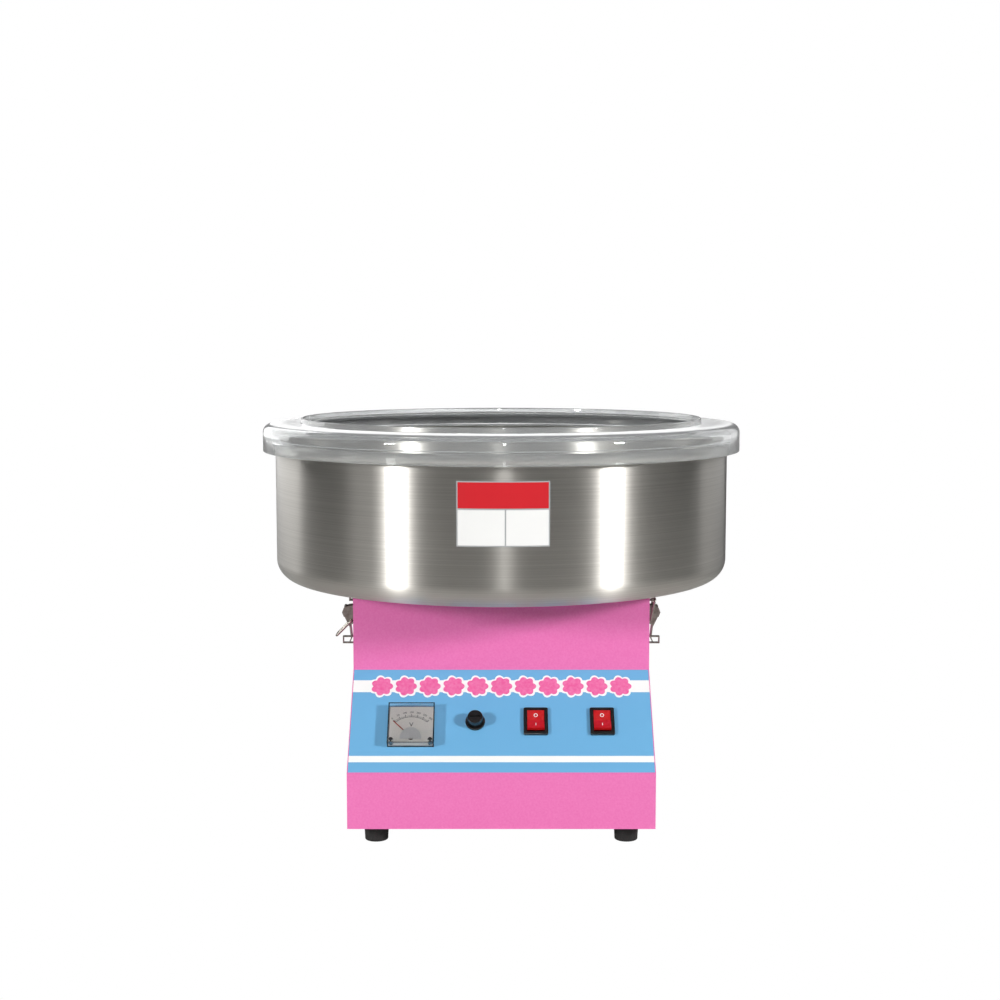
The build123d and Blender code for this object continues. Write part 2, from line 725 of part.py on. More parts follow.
rim_centre = rim_radius - rim_bead / 2
rim_level = rim_top - rim_bead / 2
collar_inner = collar_radius - bowl_sheet
collar_top = bowl_floor + collar_height
bowl = revolve(bowl_section(0, bowl_corner_radius), Axis.Z)
bowl -= revolve(bowl_section(bowl_sheet, bowl_corner_radius - bowl_sheet), Axis.Z)
bowl -= disc(collar_inner, bowl_bottom - 1, bowl_floor + 1)
bowl += tube(collar_radius, collar_inner, bowl_bottom, collar_top)
bowl += Pos(0, 0, collar_top) * Torus(collar_radius, collar_bead / 2)
bowl += Pos(0, 0, rim_level) * Torus(rim_centre, rim_bead / 2)
bowl -= Pos(0, 0, rim_level) * Torus(rim_centre, rim_bead / 2 - bowl_sheet)
catch_rivet_x = half_width + (catch_in + catch_foot_reach + 2 * latch_sheet) / 2 + 1
catch_rivet_y = catch_width / 4
for side in (-1, 1):
    for side_y in (-1, 1):
        bowl -= disc(
            rivet_radius + fixed_fit, bowl_bottom - 1, bowl_floor + 1, side * catch_rivet_x, side_y * catch_rivet_y
        )
nodes["bowl"] = bowl

# ---------------------------------------------------------------- clear guard ring
guard_bottom = guard_seat - guard_drop
guard_top = guard_seat + guard_rise


def guard_section(outer, low, high, corner):
    """Half section from the guard's opening out to a wall, with a rounded shoulder."""
    section = make_face(
        Plane.XZ
        * Polyline(
            (guard_opening_radius, low), (outer, low), (outer, high), (guard_opening_radius, high), close=True
        )
    )
    shoulder = section.vertices().sort_by(Axis.Z)[-2:].sort_by(Axis.X)[-1]
    return fillet(shoulder, corner)


guard = revolve(guard_section(guard_radius, guard_bottom, guard_top, guard_corner_radius), Axis.Z)
guard -= revolve(
    guard_section(
        guard_radius - guard_wall, guard_bottom - 1, guard_top - guard_wall, guard_corner_radius - guard_wall
    ),
    Axis.Z,
)
guard += tube(
    guard_opening_radius + guard_wall, guard_opening_radius, guard_top - guard_wall, guard_top + guard_lip_height
)
guard += tube(guard_radius - guard_wall / 2, guard_ledge_radius, guard_seat, guard_seat + guard_wall)
nodes["rim_guard"] = guard

# ---------------------------------------------------------------- side latches
# Each latch is drawn on the right side: x runs out of the cabinet and y along it.
ear_outside = ear_inside + latch_sheet
lever_half = ear_inside - side_gap - 0.1
arm_y = ear_outside + side_gap + bail_radius
wall_x = half_width


def from_pivot(points):
    """Turns (out, up) points round the lever's pivot into (x, z) points."""
    return [(pivot_x + out, pivot_z + up) for out, up in points]


base_half = latch_base_width / 2
base_low = pivot_z - latch_base_drop
base_high = pivot_z + latch_base_rise
base = block(wall_x, wall_x + latch_sheet, -base_half, base_half, base_low, base_high)
base = fillet(base.edges().filter_by(Axis.X), 3.0)
ear_outline = from_pivot(
    [
        (latch_sheet / 2 - pivot_out, -4.6),
        (latch_sheet / 2 - pivot_out, 9),
        (0, 7.6),
        (5.4, 5.4),
        (7.4, 0),
        (5.4, -5.0),
        (0, -7.1),
    ]
)
for y_low in (ear_inside, -ear_outside):
    base += side_cut(ear_outline, y_low, y_low + latch_sheet)
staple_top = pivot_z - staple_drop
staple_low = staple_top - staple_height
staple = block(
    wall_x + latch_sheet / 2, wall_x + staple_reach, -staple_width / 2, staple_width / 2, staple_low, staple_top
)
staple -= block(
    wall_x + latch_sheet,
    wall_x + staple_reach - latch_sheet,
    -staple_width,
    staple_width,
    staple_low + latch_sheet,
    staple_top - latch_sheet,
)
base += staple
base -= cross_pin(pin_radius + fixed_fit, pivot_x, pivot_z, -overshoot, overshoot)
latch_rivets = []
for dy, dz in latch_rivet_offsets:
    base -= along_x(Cylinder(rivet_radius + fixed_fit, overshoot), wall_x, dy, pivot_z + dz, 1)
    piece = rivet(latch_sheet + sheet)
    latch_rivets.append(along_x(piece, wall_x + latch_sheet, dy, pivot_z + dz, 1))

lever_line = [(3.4, 7.5), (3.4, -5.0), (-2.5, -17.0), (-4.0, -30.0), (-2.2, -34.0)]
lever_back = [(out + lever_sheet, up) for out, up in reversed(lever_line)]
lever = side_cut(from_pivot(lever_line + lever_back), -lever_half, lever_half)
cheek = from_pivot(
    [(3.6, 7.5), (-3.0, 5.0), (-7.6, -8.0), (-6.4, -12.0), (-1.8, -16.0), (3.6, -5.0)]
)
for y_low in (lever_half - latch_sheet, -lever_half):
    lever += side_cut(cheek, y_low, y_low + latch_sheet)
lever -= cross_pin(pin_radius + running_fit, pivot_x, pivot_z, -overshoot, overshoot)
lever -= cross_pin(bail_radius + running_fit, bail_pin_x, bail_pin_z, -overshoot, overshoot)
fork_half = staple_width / 2 + 1
fork_top = staple_top + 2.5
lever -= block(wall_x, wall_x + 2 * pivot_out, -fork_half, fork_half, pivot_z - 2 * latch_drop, fork_top)

latch_pin = cross_pin(pin_radius, pivot_x, pivot_z, -ear_outside, ear_outside)


def bail(swing):
    """The wire loop, turned by swing degrees outwards from straight up about its pin."""
    trunnion_end = lever_half - latch_sheet - side_gap
    wire = FilletPolyline(
        (0, -trunnion_end, 0),
        (0, -arm_y, 0),
        (0, -arm_y, bail_length),
        (0, arm_y, bail_length),
        (0, arm_y, 0),
        (0, trunnion_end, 0),
        radius=bail_bend,
    )
    section = Plane(origin=(0, -trunnion_end, 0), z_dir=(0, -1, 0)) * Circle(bail_radius)
    loop = sweep(section, path=wire)
    return Pos(bail_pin_x, 0, bail_pin_z) * Rot(0, swing, 0) * loop


hook_low = bowl_bottom - catch_drop
hook_outline = [
    (wall_x + catch_in, bowl_bottom),
    (wall_x + catch_in, hook_low),
    (wall_x + catch_reach, hook_low),
    (wall_x + catch_reach, hook_low + catch_lip_height),
    (wall_x + catch_reach - latch_sheet, hook_low + catch_lip_height),
    (wall_x + catch_reach - latch_sheet, hook_low + latch_sheet),
    (wall_x + catch_in + latch_sheet, hook_low + latch_sheet),
    (wall_x + catch_in + latch_sheet, bowl_bottom - latch_sheet),
    (wall_x + catch_foot_reach, bowl_bottom - latch_sheet),
    (wall_x + catch_foot_reach, bowl_bottom),
]
catch = side_cut(hook_outline, -catch_width / 2, catch_width / 2)
catch_rivets = []
for side_y in (-1, 1):
    y = side_y * catch_rivet_y
    catch -= disc(rivet_radius + fixed_fit, hook_low, bowl_bottom + 1, catch_rivet_x, y)
    grip = bowl_sheet + latch_sheet
    catch_rivets.append(Pos(catch_rivet_x, y, bowl_floor) * rivet(grip))

nodes["right_latch_base"] = base
nodes["left_latch_base"] = mirrored(base)
nodes["right_latch_lever"] = lever
nodes["left_latch_lever"] = mirrored(lever)
nodes["right_latch_bail"] = bail(right_bail_swing)
nodes["left_latch_bail"] = mirrored(bail(left_bail_swing))
nodes["right_catch"] = catch
nodes["left_catch"] = mirrored(catch)
nodes["latch_pins"] = as_group([latch_pin, mirrored(latch_pin)])
nodes["latch_rivets"] = as_group(latch_rivets + [mirrored(piece) for piece in latch_rivets])
nodes["catch_rivets"] = as_group(catch_rivets + [mirrored(piece) for piece in catch_rivets])

# ---------------------------------------------------------------- motor hung under the top plate
bracket = block(
    -bracket_size / 2, bracket_size / 2, -bracket_size / 2, bracket_size / 2, motor_top, bracket_top
)
bracket = fillet(bracket.edges().filter_by(Axis.Z), 6.0)
bracket -= disc(boss_radius + side_gap, motor_top - 1, bracket_top + 1)
motor_screws = []
bell_screw_circle = (boss_radius + motor_radius) / 2
for x, y in standoff_places:
    bracket += disc(standoff_radius, bracket_top - 0.5, plate_under, x, y)
for x, y in standoff_places:
    bracket -= disc(screw_radius + fixed_fit, bracket_top, plate_under + 1, x, y)
    low_screw = pan_screw(2 * screw_length, head_height=low_head_height)
    motor_screws.append(Pos(x, y, cabinet_top) * low_screw)
bell = disc(motor_radius, motor_top - 4, motor_top)
bell += disc(boss_radius, motor_top - 4, motor_top + boss_height)
bell -= disc(bearing_radius + fixed_fit, motor_top - 5, motor_top + boss_height - 2)
bell -= disc(spindle_radius + 2, motor_top - 5, motor_top + boss_height + 1)
for turn in range(4):
    angle = turn * pi / 2
    x = bell_screw_circle * cos(angle)
    y = bell_screw_circle * sin(angle)
    bracket -= disc(screw_radius + fixed_fit, motor_top - 1, bracket_top + 1, x, y)
    bell -= disc(screw_radius + fixed_fit, motor_top - 5, motor_top + 1, x, y)
    motor_screws.append(Pos(x, y, bracket_top) * pan_screw(bracket_thickness + 3))
nodes["motor_bracket"] = bracket
nodes["motor_end_bell"] = bell
nodes["motor_screws"] = as_group(motor_screws)

can_top = motor_top - 4
can = disc(motor_radius, motor_bottom, can_top)
can -= disc(motor_radius - motor_wall, motor_bottom + motor_end, can_top + 1)
can += disc(boss_radius, motor_bottom - boss_height, motor_bottom + motor_end)
can -= disc(bearing_radius + fixed_fit, motor_bottom - boss_height + 2, motor_bottom + motor_end + 1)
can -= disc(spindle_radius + 2, motor_bottom - boss_height - 1, motor_bottom)
nodes["motor_housing"] = can
core_middle = (motor_bottom + motor_top) / 2
core_low = core_middle - core_length / 2
core_high = core_middle + core_length / 2
stator = tube(motor_radius - motor_wall - fixed_fit, stator_inner_radius, core_low, core_high)
nodes["motor_stator"] = stator
rotor = tube(stator_inner_radius - air_gap, spindle_radius + fixed_fit, core_low, core_high)
nodes["motor_rotor"] = rotor
upper_bearing_top = motor_top + boss_height - 2
lower_bearing_low = motor_bottom - boss_height + 2
bearing_bore = spindle_radius + running_fit
bearings = [
    tube(bearing_radius, bearing_bore, upper_bearing_top - bearing_width, upper_bearing_top),
    tube(bearing_radius, bearing_bore, lower_bearing_low, lower_bearing_low + bearing_width),
]
nodes["motor_bearings"] = as_group(bearings)
nodes["spindle"] = disc(spindle_radius, spindle_bottom, spindle_top)

# ---------------------------------------------------------------- fan, slip rings and brushes
fan = disc(fan_hub_radius, fan_bottom, fan_top)
blade_length = fan_radius - fan_hub_radius + 1
for number in range(fan_blades):
    blade = Rot(40, 0, 0) * Box(blade_length, fan_height * 1.1, 1.2)
    blade = Pos(fan_hub_radius - 1 + blade_length / 2, 0, (fan_bottom + fan_top) / 2) * blade
    fan += Rot(0, 0, number * 360 / fan_blades) * blade
fan -= disc(spindle_radius + fixed_fit, fan_bottom - overshoot, fan_top + overshoot)
nodes["cooling_fan"] = fan

ring_gap = (drum_length - 2 * slip_ring_width) / 3
ring_levels = [
    drum_bottom + ring_gap + slip_ring_width / 2,
    drum_top - ring_gap - slip_ring_width / 2,
]
ring_radius = drum_radius + slip_ring_thickness
slip_rings = []
for level in ring_levels:
    low = level - slip_ring_width / 2
    slip_rings.append(tube(ring_radius, drum_radius + fixed_fit, low, low + slip_ring_width))
nodes["slip_ring_drum"] = tube(drum_radius, spindle_radius + fixed_fit, drum_bottom, drum_top)
nodes["slip_rings"] = as_group(slip_rings)

brush_in = ring_radius + side_gap
block_in = brush_in + brush_size
block_out = brush_in + brush_length + brush_block_wall
block_half = brush_size / 2 + brush_block_wall
holder_block = block(block_in, block_out, -block_half, block_half, base_top, drum_top)
holder_block += block(
    block_in, block_out + 2 * brush_block_wall, -2 * block_half, 2 * block_half, base_top, base_top + brush_block_wall
)
brushes = []
for level in ring_levels:
    half = brush_size / 2
    holder_block -= block(
        block_in - 1,
        brush_in + brush_length + fixed_fit,
        -half - fixed_fit,
        half + fixed_fit,
        level - half - fixed_fit,
        level + half + fixed_fit,
    )
    brushes.append(block(brush_in, brush_in + brush_length, -half, half, level - half, level + half))
nodes["brush_holder"] = holder_block
nodes["carbon_brushes"] = as_group(brushes)

# ---------------------------------------------------------------- spinning head
head_base = disc(head_radius, head_bottom, chamber_floor)
head_base += disc(head_hub_radius, head_bottom - head_hub_length, chamber_floor)
head_base -= disc(spindle_radius + fixed_fit, head_bottom - head_hub_length - 1, chamber_floor + 1)

band = tube(head_band_radius, head_band_radius - head_band_sheet, chamber_floor, chamber_ceiling)
slot_height = head_chamber_height - 2 * head_slot_margin
slot = Pos(head_band_radius, 0, (chamber_floor + chamber_ceiling) / 2) * Box(
    4 * head_band_sheet, head_slot_width, slot_height
)
band -= [Rot(0, 0, number * 360 / head_slots) * slot for number in range(head_slots)]
nodes["spinner_band"] = band


def star(inner, outer):
    """A closed zigzag round the spindle, one point in and one out for each tooth."""
    points = []
    for number in range(2 * heater_teeth):
        angle = pi * number / heater_teeth
        radius = outer if number % 2 else inner
        points.append((radius * cos(angle), radius * sin(angle)))
    return make_face(Polyline(*points, close=True))


ribbon = star(heater_inner_radius + heater_ribbon, heater_outer_radius)
ribbon -= star(heater_inner_radius, heater_outer_radius - heater_ribbon)
heater = Pos(0, 0, chamber_floor) * extrude(ribbon, head_chamber_height - seat_gap)
nodes["heating_element"] = heater

cup_outer = cup_radius + cup_wall
head_cap = turned(
    [
        (0, cup_bottom),
        (cup_outer, cup_bottom),
        (cup_outer, chamber_ceiling),
        (head_radius, chamber_ceiling),
        (head_radius, chamber_ceiling + cap_edge),
        (cup_outer + cup_wall, cup_mouth),
        (cup_radius, cup_mouth),
        (cup_radius, cup_floor_top),
        (0, cup_floor_top),
    ]
)
head_cap -= disc(spindle_radius + fixed_fit, cup_bottom - 1, cup_floor_top + 1)
feed_level = cup_floor_top + cup_feed_radius + 1
for number in range(cup_feed_holes):
    hole = Pos(cup_radius, 0, feed_level) * Rot(0, 90, 0) * Cylinder(cup_feed_radius, overshoot)
    head_cap -= Rot(0, 0, number * 360 / cup_feed_holes) * hole

spindle_nut = hex_nut(spindle_radius + fixed_fit, 2 * spindle_radius, spindle_nut_height)
spinner_screws = [Pos(0, 0, cup_floor_top) * spindle_nut]
head_screw_length = head_base_thickness + head_chamber_height + cap_edge
for number in range(head_screws):
    angle = 2 * pi * (number + 0.5) / head_screws
    x = head_screw_circle * cos(angle)
    y = head_screw_circle * sin(angle)
    spinner_screws.append(Pos(x, y, head_bottom) * Rot(180, 0, 0) * pan_screw(head_screw_length))
    head_base -= disc(screw_radius + fixed_fit, head_bottom - 1, chamber_floor + 1, x, y)
    head_cap -= disc(
        screw_radius + fixed_fit, chamber_ceiling - 1, head_bottom + head_screw_length + fixed_fit, x, y
    )
nodes["spinner_base"] = head_base
nodes["spinner_cap"] = head_cap
nodes["spinner_screws"] = as_group(spinner_screws)

# ---------------------------------------------------------------- one file for each node
os.makedirs("parts", exist_ok=True)
for name, shape in nodes.items():
    export_step(shape, f"parts/{name}.step")
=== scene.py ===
from math import atan2, cos, pi, radians, sin

import bmesh
import bpy
from mathutils import Matrix, Vector


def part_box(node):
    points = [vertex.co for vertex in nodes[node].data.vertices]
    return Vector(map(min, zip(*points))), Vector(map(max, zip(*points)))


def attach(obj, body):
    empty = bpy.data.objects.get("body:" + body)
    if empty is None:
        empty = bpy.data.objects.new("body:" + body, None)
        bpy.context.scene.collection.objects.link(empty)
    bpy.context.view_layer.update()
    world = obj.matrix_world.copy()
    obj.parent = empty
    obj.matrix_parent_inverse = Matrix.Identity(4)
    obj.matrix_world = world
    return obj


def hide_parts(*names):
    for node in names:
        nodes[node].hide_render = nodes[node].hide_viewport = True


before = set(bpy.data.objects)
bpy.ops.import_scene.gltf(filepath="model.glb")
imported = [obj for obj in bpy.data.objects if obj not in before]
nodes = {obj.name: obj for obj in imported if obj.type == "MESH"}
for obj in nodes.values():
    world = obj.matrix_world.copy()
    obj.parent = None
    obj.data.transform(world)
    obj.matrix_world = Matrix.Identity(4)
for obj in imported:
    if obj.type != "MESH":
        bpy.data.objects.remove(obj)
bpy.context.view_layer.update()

# ---------------------------------------------------------------- the camera
# The photograph was taken from straight in front, a little above the bowl's rim, through a longish lens:
# the rim's ellipse is flat, and the bowl's floor is only seen edge on.
camera_pitch = radians(5.76)
camera_data = bpy.data.cameras.new("photo_camera")
camera_data.sensor_width = 36.0
camera_data.lens = 59.22
camera = bpy.data.objects.new("photo_camera", camera_data)
camera.location = (-0.0014, -1.880, 0.5300)
camera.rotation_euler = (pi / 2 - camera_pitch, 0, 0)
bpy.context.scene.collection.objects.link(camera)
bpy.context.scene.camera = camera
bpy.context.scene.view_settings.view_transform = "Standard"


# ---------------------------------------------------------------- floor, room and lights
# A dim studio with a white table top and a few soft boxes. The camera sees table and room as plain white, as
# on a cut-out photograph, but the clear guard shows the dim room behind it. The boxes at the sides give the
# brushed bowl its upright bands of light and throw its two curved shadows on the cabinet.
def linear(code, alpha=1.0):
    """An sRGB hex colour as the linear values that the shaders take."""
    channels = [int(code[i : i + 2], 16) / 255 for i in (1, 3, 5)]
    return (*[c / 12.92 if c <= 0.04045 else ((c + 0.055) / 1.055) ** 2.4 for c in channels], alpha)


def add(tree, kind, inputs=(), **settings):
    """Adds a node with its settings. Each input is a value or the socket that it is linked from."""
    node = tree.nodes.new(kind)
    for name, value in settings.items():
        setattr(node, name, value)
    for name, value in dict(inputs).items():
        if isinstance(value, bpy.types.NodeSocket):
            tree.links.new(value, node.inputs[name])
        else:
            node.inputs[name].default_value = value
    return node


floor_mesh = bpy.data.meshes.new("studio_floor")
floor_mesh.from_pydata([(-30, -30, 0), (30, -30, 0), (30, 30, 0), (-30, 30, 0)], [], [(0, 1, 2, 3)])
floor = bpy.data.objects.new("studio_floor", floor_mesh)
bpy.context.scene.collection.objects.link(floor)
floor_paint = bpy.data.materials.new("matt_white_floor_paint")
floor_paint.use_nodes = True
tree = floor_paint.node_tree
tree.nodes.clear()
place = add(tree, "ShaderNodeTexCoord")
# From 0.7 m to 1.5 m out from the middle, the floor's own colour fades from light grey to mid grey. This is
# painted shade standing in for a dim far room. It shows only in reflections and bounced light; the camera
# still sees the floor as plain white.
far = add(tree, "ShaderNodeVectorMath", {0: place.outputs["Object"]}, operation="LENGTH")
painted_falloff_share = add(tree, "ShaderNodeMapRange", {"Value": far.outputs["Value"], "From Min": 0.7, "From Max": 1.5})
floor_tone_with_painted_falloff = add(
    tree, "ShaderNodeMix", {0: painted_falloff_share.outputs[0], 6: linear("#E4E4E0"), 7: linear("#6E6E6E")},
    data_type="RGBA",
)
matt = add(tree, "ShaderNodeBsdfDiffuse", {"Color": floor_tone_with_painted_falloff.outputs[2]})
white = add(tree, "ShaderNodeEmission", {"Color": linear("#FFFFFF"), "Strength": 1.0})
ray = add(tree, "ShaderNodeLightPath")
blend = add(
    tree, "ShaderNodeMixShader", {0: ray.outputs["Is Camera Ray"], 1: matt.outputs[0], 2: white.outputs[0]}
)
add(tree, "ShaderNodeOutputMaterial", {"Surface": blend.outputs[0]})
floor_mesh.materials.append(floor_paint)

world = bpy.data.worlds.new("white_studio")
bpy.context.scene.world = world
world.use_nodes = True
tree = world.node_tree
tree.nodes.clear()
ray = add(tree, "ShaderNodeLightPath")
seen = add(tree, "ShaderNodeBackground", {"Color": linear("#FFFFFF"), "Strength": 1.0})
lit = add(tree, "ShaderNodeBackground", {"Color": linear("#F4F6FA"), "Strength": 0.11})
room = add(
    tree, "ShaderNodeMixShader", {0: ray.outputs["Is Camera Ray"], 1: lit.outputs[0], 2: seen.outputs[0]}
)
add(tree, "ShaderNodeOutputWorld", {"Surface": room.outputs[0]})


def soft_box(name, turn, distance, height, width, tall, power):
    """A soft box aimed at the bowl, turned some degrees to the right round it, with 0 straight in front."""
    data = bpy.data.lights.new(name, "AREA")
    data.shape = "RECTANGLE"
    data.size = width
    data.size_y = tall
    data.energy = power
    box = bpy.data.objects.new(name, data)
    place = Vector((distance * sin(radians(turn)), -distance * cos(radians(turn)), height))
    box.location = place
    box.rotation_euler = (Vector((0, 0, 0.3)) - place).to_track_quat("-Z", "Y").to_euler()
    bpy.context.scene.collection.objects.link(box)


soft_box("left_box", -50, 2.6, 0.83, 0.20, 0.34, 38)
soft_box("right_box", 54, 2.6, 1.02, 0.20, 0.34, 50)
soft_box("front_box", 1.5, 3.2, 1.5, 0.10, 1.5, 9)
soft_box("left_screen", -72, 2.6, 1.1, 0.5, 1.4, 1.6)
soft_box("left_rear_box", -136, 2.6, 1.1, 2.2, 1.8, 26)
soft_box("right_rear_box", 132, 2.6, 1.1, 1.9, 1.8, 10)
overhead_data = bpy.data.lights.new("overhead_box", "AREA")
overhead_data.size = 3.0
overhead_data.energy = 6
overhead = bpy.data.objects.new("overhead_box", overhead_data)
overhead.location = (0, -0.4, 3.0)
bpy.context.scene.collection.objects.link(overhead)


# ---------------------------------------------------------------- cabinet
# A folded sheet steel box in front, top and rear, powder coated candy pink after folding. The coat is
# satin, with the faint orange peel of sprayed and baked powder.
def finish_from(name, colour, **shader_values):
    """A material whose one shader takes the values given, named as in Blender but with underscores."""
    material = bpy.data.materials.new(name)
    material.use_nodes = True
    tree = material.node_tree
    tree.nodes.clear()
    values = {key.replace("_", " ").title().replace("Ior", "IOR"): v for key, v in shader_values.items()}
    shader = add(tree, "ShaderNodeBsdfPrincipled", {"Base Color": colour, **values})
    shader.name = "finish"
    add(tree, "ShaderNodeOutputMaterial", {"Surface": shader.outputs[0]})
    return material, tree, shader


def grain(tree, shader, stretch, strength, depth, detail=2.0):
    """Raises a fine noise on the surface; stretch is the noise's cells per metre along x, y and z."""
    place = add(tree, "ShaderNodeTexCoord")
    turned = add(tree, "ShaderNodeMapping", {"Vector": place.outputs["Object"], "Scale": stretch})
    noise = add(tree, "ShaderNodeTexNoise", {"Vector": turned.outputs[0], "Scale": 1.0, "Detail": detail})
    bump = add(
        tree, "ShaderNodeBump", {"Height": noise.outputs["Fac"], "Strength": strength, "Distance": depth}
    )
    tree.links.new(bump.outputs[0], shader.inputs["Normal"])
    return noise


def shaded(tree, shader, noise, low, high, dark, light):
    """Lets the noise vary the colour a little between two tones."""
    ramp = add(tree, "ShaderNodeMapRange", {"Value": noise.outputs["Fac"], "From Min": low, "From Max": high})
    mix = add(tree, "ShaderNodeMix", {0: ramp.outputs[0], 6: dark, 7: light}, data_type="RGBA")
    tree.links.new(mix.outputs[2], shader.inputs["Base Color"])


def dress(material, *names):
    """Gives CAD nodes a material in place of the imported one."""
    for name in names:
        mesh = nodes[name].data
        mesh.materials.clear()
        mesh.materials.append(material)


# Polyester powder coat: satin, so a soft sheen; 2 mm orange peel, drawn a little coarser than it is.
pink_coat, tree, shader = finish_from(
    "candy_pink_powder_coat", linear("#E873B4"), roughness=0.42, coat_weight=0.15, coat_roughness=0.25
)
peel = grain(tree, shader, (450, 450, 450), 0.08, 0.0004)
shaded(tree, shader, peel, 0.3, 0.7, linear("#E66FB1"), linear("#EA79B8"))
dress(pink_coat, "cabinet_shell", "top_plate", "rear_cover")

# Zinc-plated sheet and hardware: bright but cloudy, with the spangle of the plating bath, 4 mm across.
zinc, tree, shader = finish_from("zinc_plated_steel", linear("#B9BBBA"), metallic=1.0, roughness=0.38)
spangle = grain(tree, shader, (250, 250, 250), 0.05, 0.0003)
shaded(tree, shader, spangle, 0.35, 0.65, linear("#A9ABAA"), linear("#C6C8C6"))
dress(
    zinc, "base_plate", "motor_bracket", "motor_housing", "motor_rotor", "base_screws", "rear_screws",
    "foot_screws", "motor_screws", "spinner_screws", "spindle", "motor_bearings",
)


# ---------------------------------------------------------------- feet
# Four turned rubber feet under the corners, each held by a pan-head screw up inside its recess.
def new_tree(name, inputs, output):
    """A geometry tree with the inputs given as (name, kind) and a finish, and the sockets of those inputs."""
    group = bpy.data.node_groups.new(name, "GeometryNodeTree")
    for label, kind in (*inputs, ("Finish", "Material")):
        group.interface.new_socket(label, in_out="INPUT", socket_type="NodeSocket" + kind)
    group.interface.new_socket(output, in_out="OUTPUT", socket_type="NodeSocketGeometry")
    return group, add(group, "NodeGroupInput").outputs


def end_tree(group, geometry, finish, output):
    """Ends a tree: makes its copies real, gives them the finish and hands them out."""
    real = add(group, "GeometryNodeRealizeInstances", {0: geometry})
    finished = add(group, "GeometryNodeSetMaterial", {0: real.outputs[0], "Material": finish})
    add(group, "NodeGroupOutput", {output: finished.outputs[0]})


def turned_tree():
    """Sweeps a closed outline of (radius, -height) round the vertical axis."""
    group, given = new_tree(
        "turned_round_the_axis",
        (("Outline", "Geometry"), ("Path Radius", "Float"), ("Steps Round", "Int")),
        "Piece",
    )
    outline = add(group, "GeometryNodeMeshToCurve", {"Mesh": given["Outline"]})
    path = add(
        group, "GeometryNodeCurvePrimitiveCircle",
        {"Resolution": given["Steps Round"], "Radius": given["Path Radius"]},
    )
    swept = add(
        group, "GeometryNodeCurveToMesh", {"Curve": path.outputs[0], "Profile Curve": outline.outputs[0]}
    )
    end_tree(group, swept.outputs[0], given["Finish"], "Piece")
    return group


def bake(name, group, values, start=None, sharp=32):
    """Runs a geometry tree once and keeps its result as a plain mesh with its faces outwards."""
    piece = bpy.data.objects.new(name, start or bpy.data.meshes.new(name))
    bpy.context.scene.collection.objects.link(piece)
    maker = piece.modifiers.new("maker", "NODES")
    maker.node_group = group
    for item in group.interface.items_tree:
        if item.in_out == "INPUT" and item.name in values:
            maker[item.identifier] = values[item.name]
    bpy.context.view_layer.update()
    evaluated = piece.evaluated_get(bpy.context.evaluated_depsgraph_get())
    mesh = bpy.data.meshes.new_from_object(evaluated)
    piece.modifiers.remove(maker)
    piece.data = mesh
    mesh.name = name
    close(mesh)
    mesh.shade_smooth()
    mesh.set_sharp_from_angle(angle=radians(sharp))
    return piece


def close(mesh):
    """Merges doubled points and turns every face outwards."""
    work = bmesh.new()
    work.from_mesh(mesh)
    bmesh.ops.remove_doubles(work, verts=work.verts, dist=0.000002)
    bmesh.ops.recalc_face_normals(work, faces=work.faces)
    work.to_mesh(mesh)
    work.free()


turning = turned_tree()


def turned(name, outline, finish, steps=96, sharp=32):
    """A ring-shaped piece from a closed outline of (radius, height) points."""
    path_radius = max(radius for radius, height in outline)
    start = bpy.data.meshes.new(name)
    count = len(outline)
    start.from_pydata(
        [(radius - path_radius, -height, 0) for radius, height in outline],
        [(i, (i + 1) % count) for i in range(count)],
        [],
    )
    values = {"Path Radius": path_radius, "Steps Round": steps, "Finish": finish}
    return bake(name, turning, values, start, sharp)


def arc(centre_radius, centre_height, radius, first, last, steps):
    """Outline points on an arc, from one angle to another in degrees, 0 pointing outwards."""
    angles = [radians(first + (last - first) * i / steps) for i in range(steps + 1)]
    return [(centre_radius + radius * cos(a), centre_height + radius * sin(a)) for a in angles]


# Natural rubber, moulded: nearly black and matt, with a faint bloom of lighter grey.
rubber, tree, shader = finish_from("moulded_black_rubber", linear("#1E1C1C"), roughness=0.72)
bloom = grain(tree, shader, (900, 900, 900), 0.15, 0.0002)
shaded(tree, shader, bloom, 0.3, 0.7, linear("#191717"), linear("#262424"))
foot_height = 0.019
screw_hole = 0.0022
recess = 0.0055
recess_depth = 0.011
recess_edge = 0.0005
sole_edge = 0.0014
foot_outline = [
    (screw_hole, recess_depth), (recess, recess_depth), (recess, recess_edge), (recess + recess_edge, 0.0),
    *arc(0.0108, sole_edge, sole_edge, -90, -4, 5),
    (0.01228, 0.0040), (0.01288, 0.0135), (0.0130, 0.0145), (0.0130, 0.0170), (0.0132, 0.0178),
    (0.0132, foot_height), (screw_hole, foot_height),
]
grid, given = new_tree(
    "set_at_four_corners",
    (("Piece", "Geometry"), ("Across", "Float"), ("Deep", "Float"), ("Middle", "Vector")),
    "Pieces",
)
corners = add(
    grid, "GeometryNodeMeshGrid",
    {"Size X": given["Across"], "Size Y": given["Deep"], "Vertices X": 2, "Vertices Y": 2},
)
moved = add(grid, "GeometryNodeTransform", {"Geometry": corners.outputs[0], "Translation": given["Middle"]})
copies = add(grid, "GeometryNodeInstanceOnPoints", {"Points": moved.outputs[0], "Instance": given["Piece"]})
end_tree(grid, copies.outputs[0], given["Finish"], "Pieces")
foot = turned("turned_foot", foot_outline, rubber, 48)
front_low, front_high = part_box("foot_front_left")
rear_low, rear_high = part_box("foot_rear_right")
front_middle = (front_low + front_high) / 2
rear_middle = (rear_low + rear_high) / 2
middle = (front_middle + rear_middle) / 2
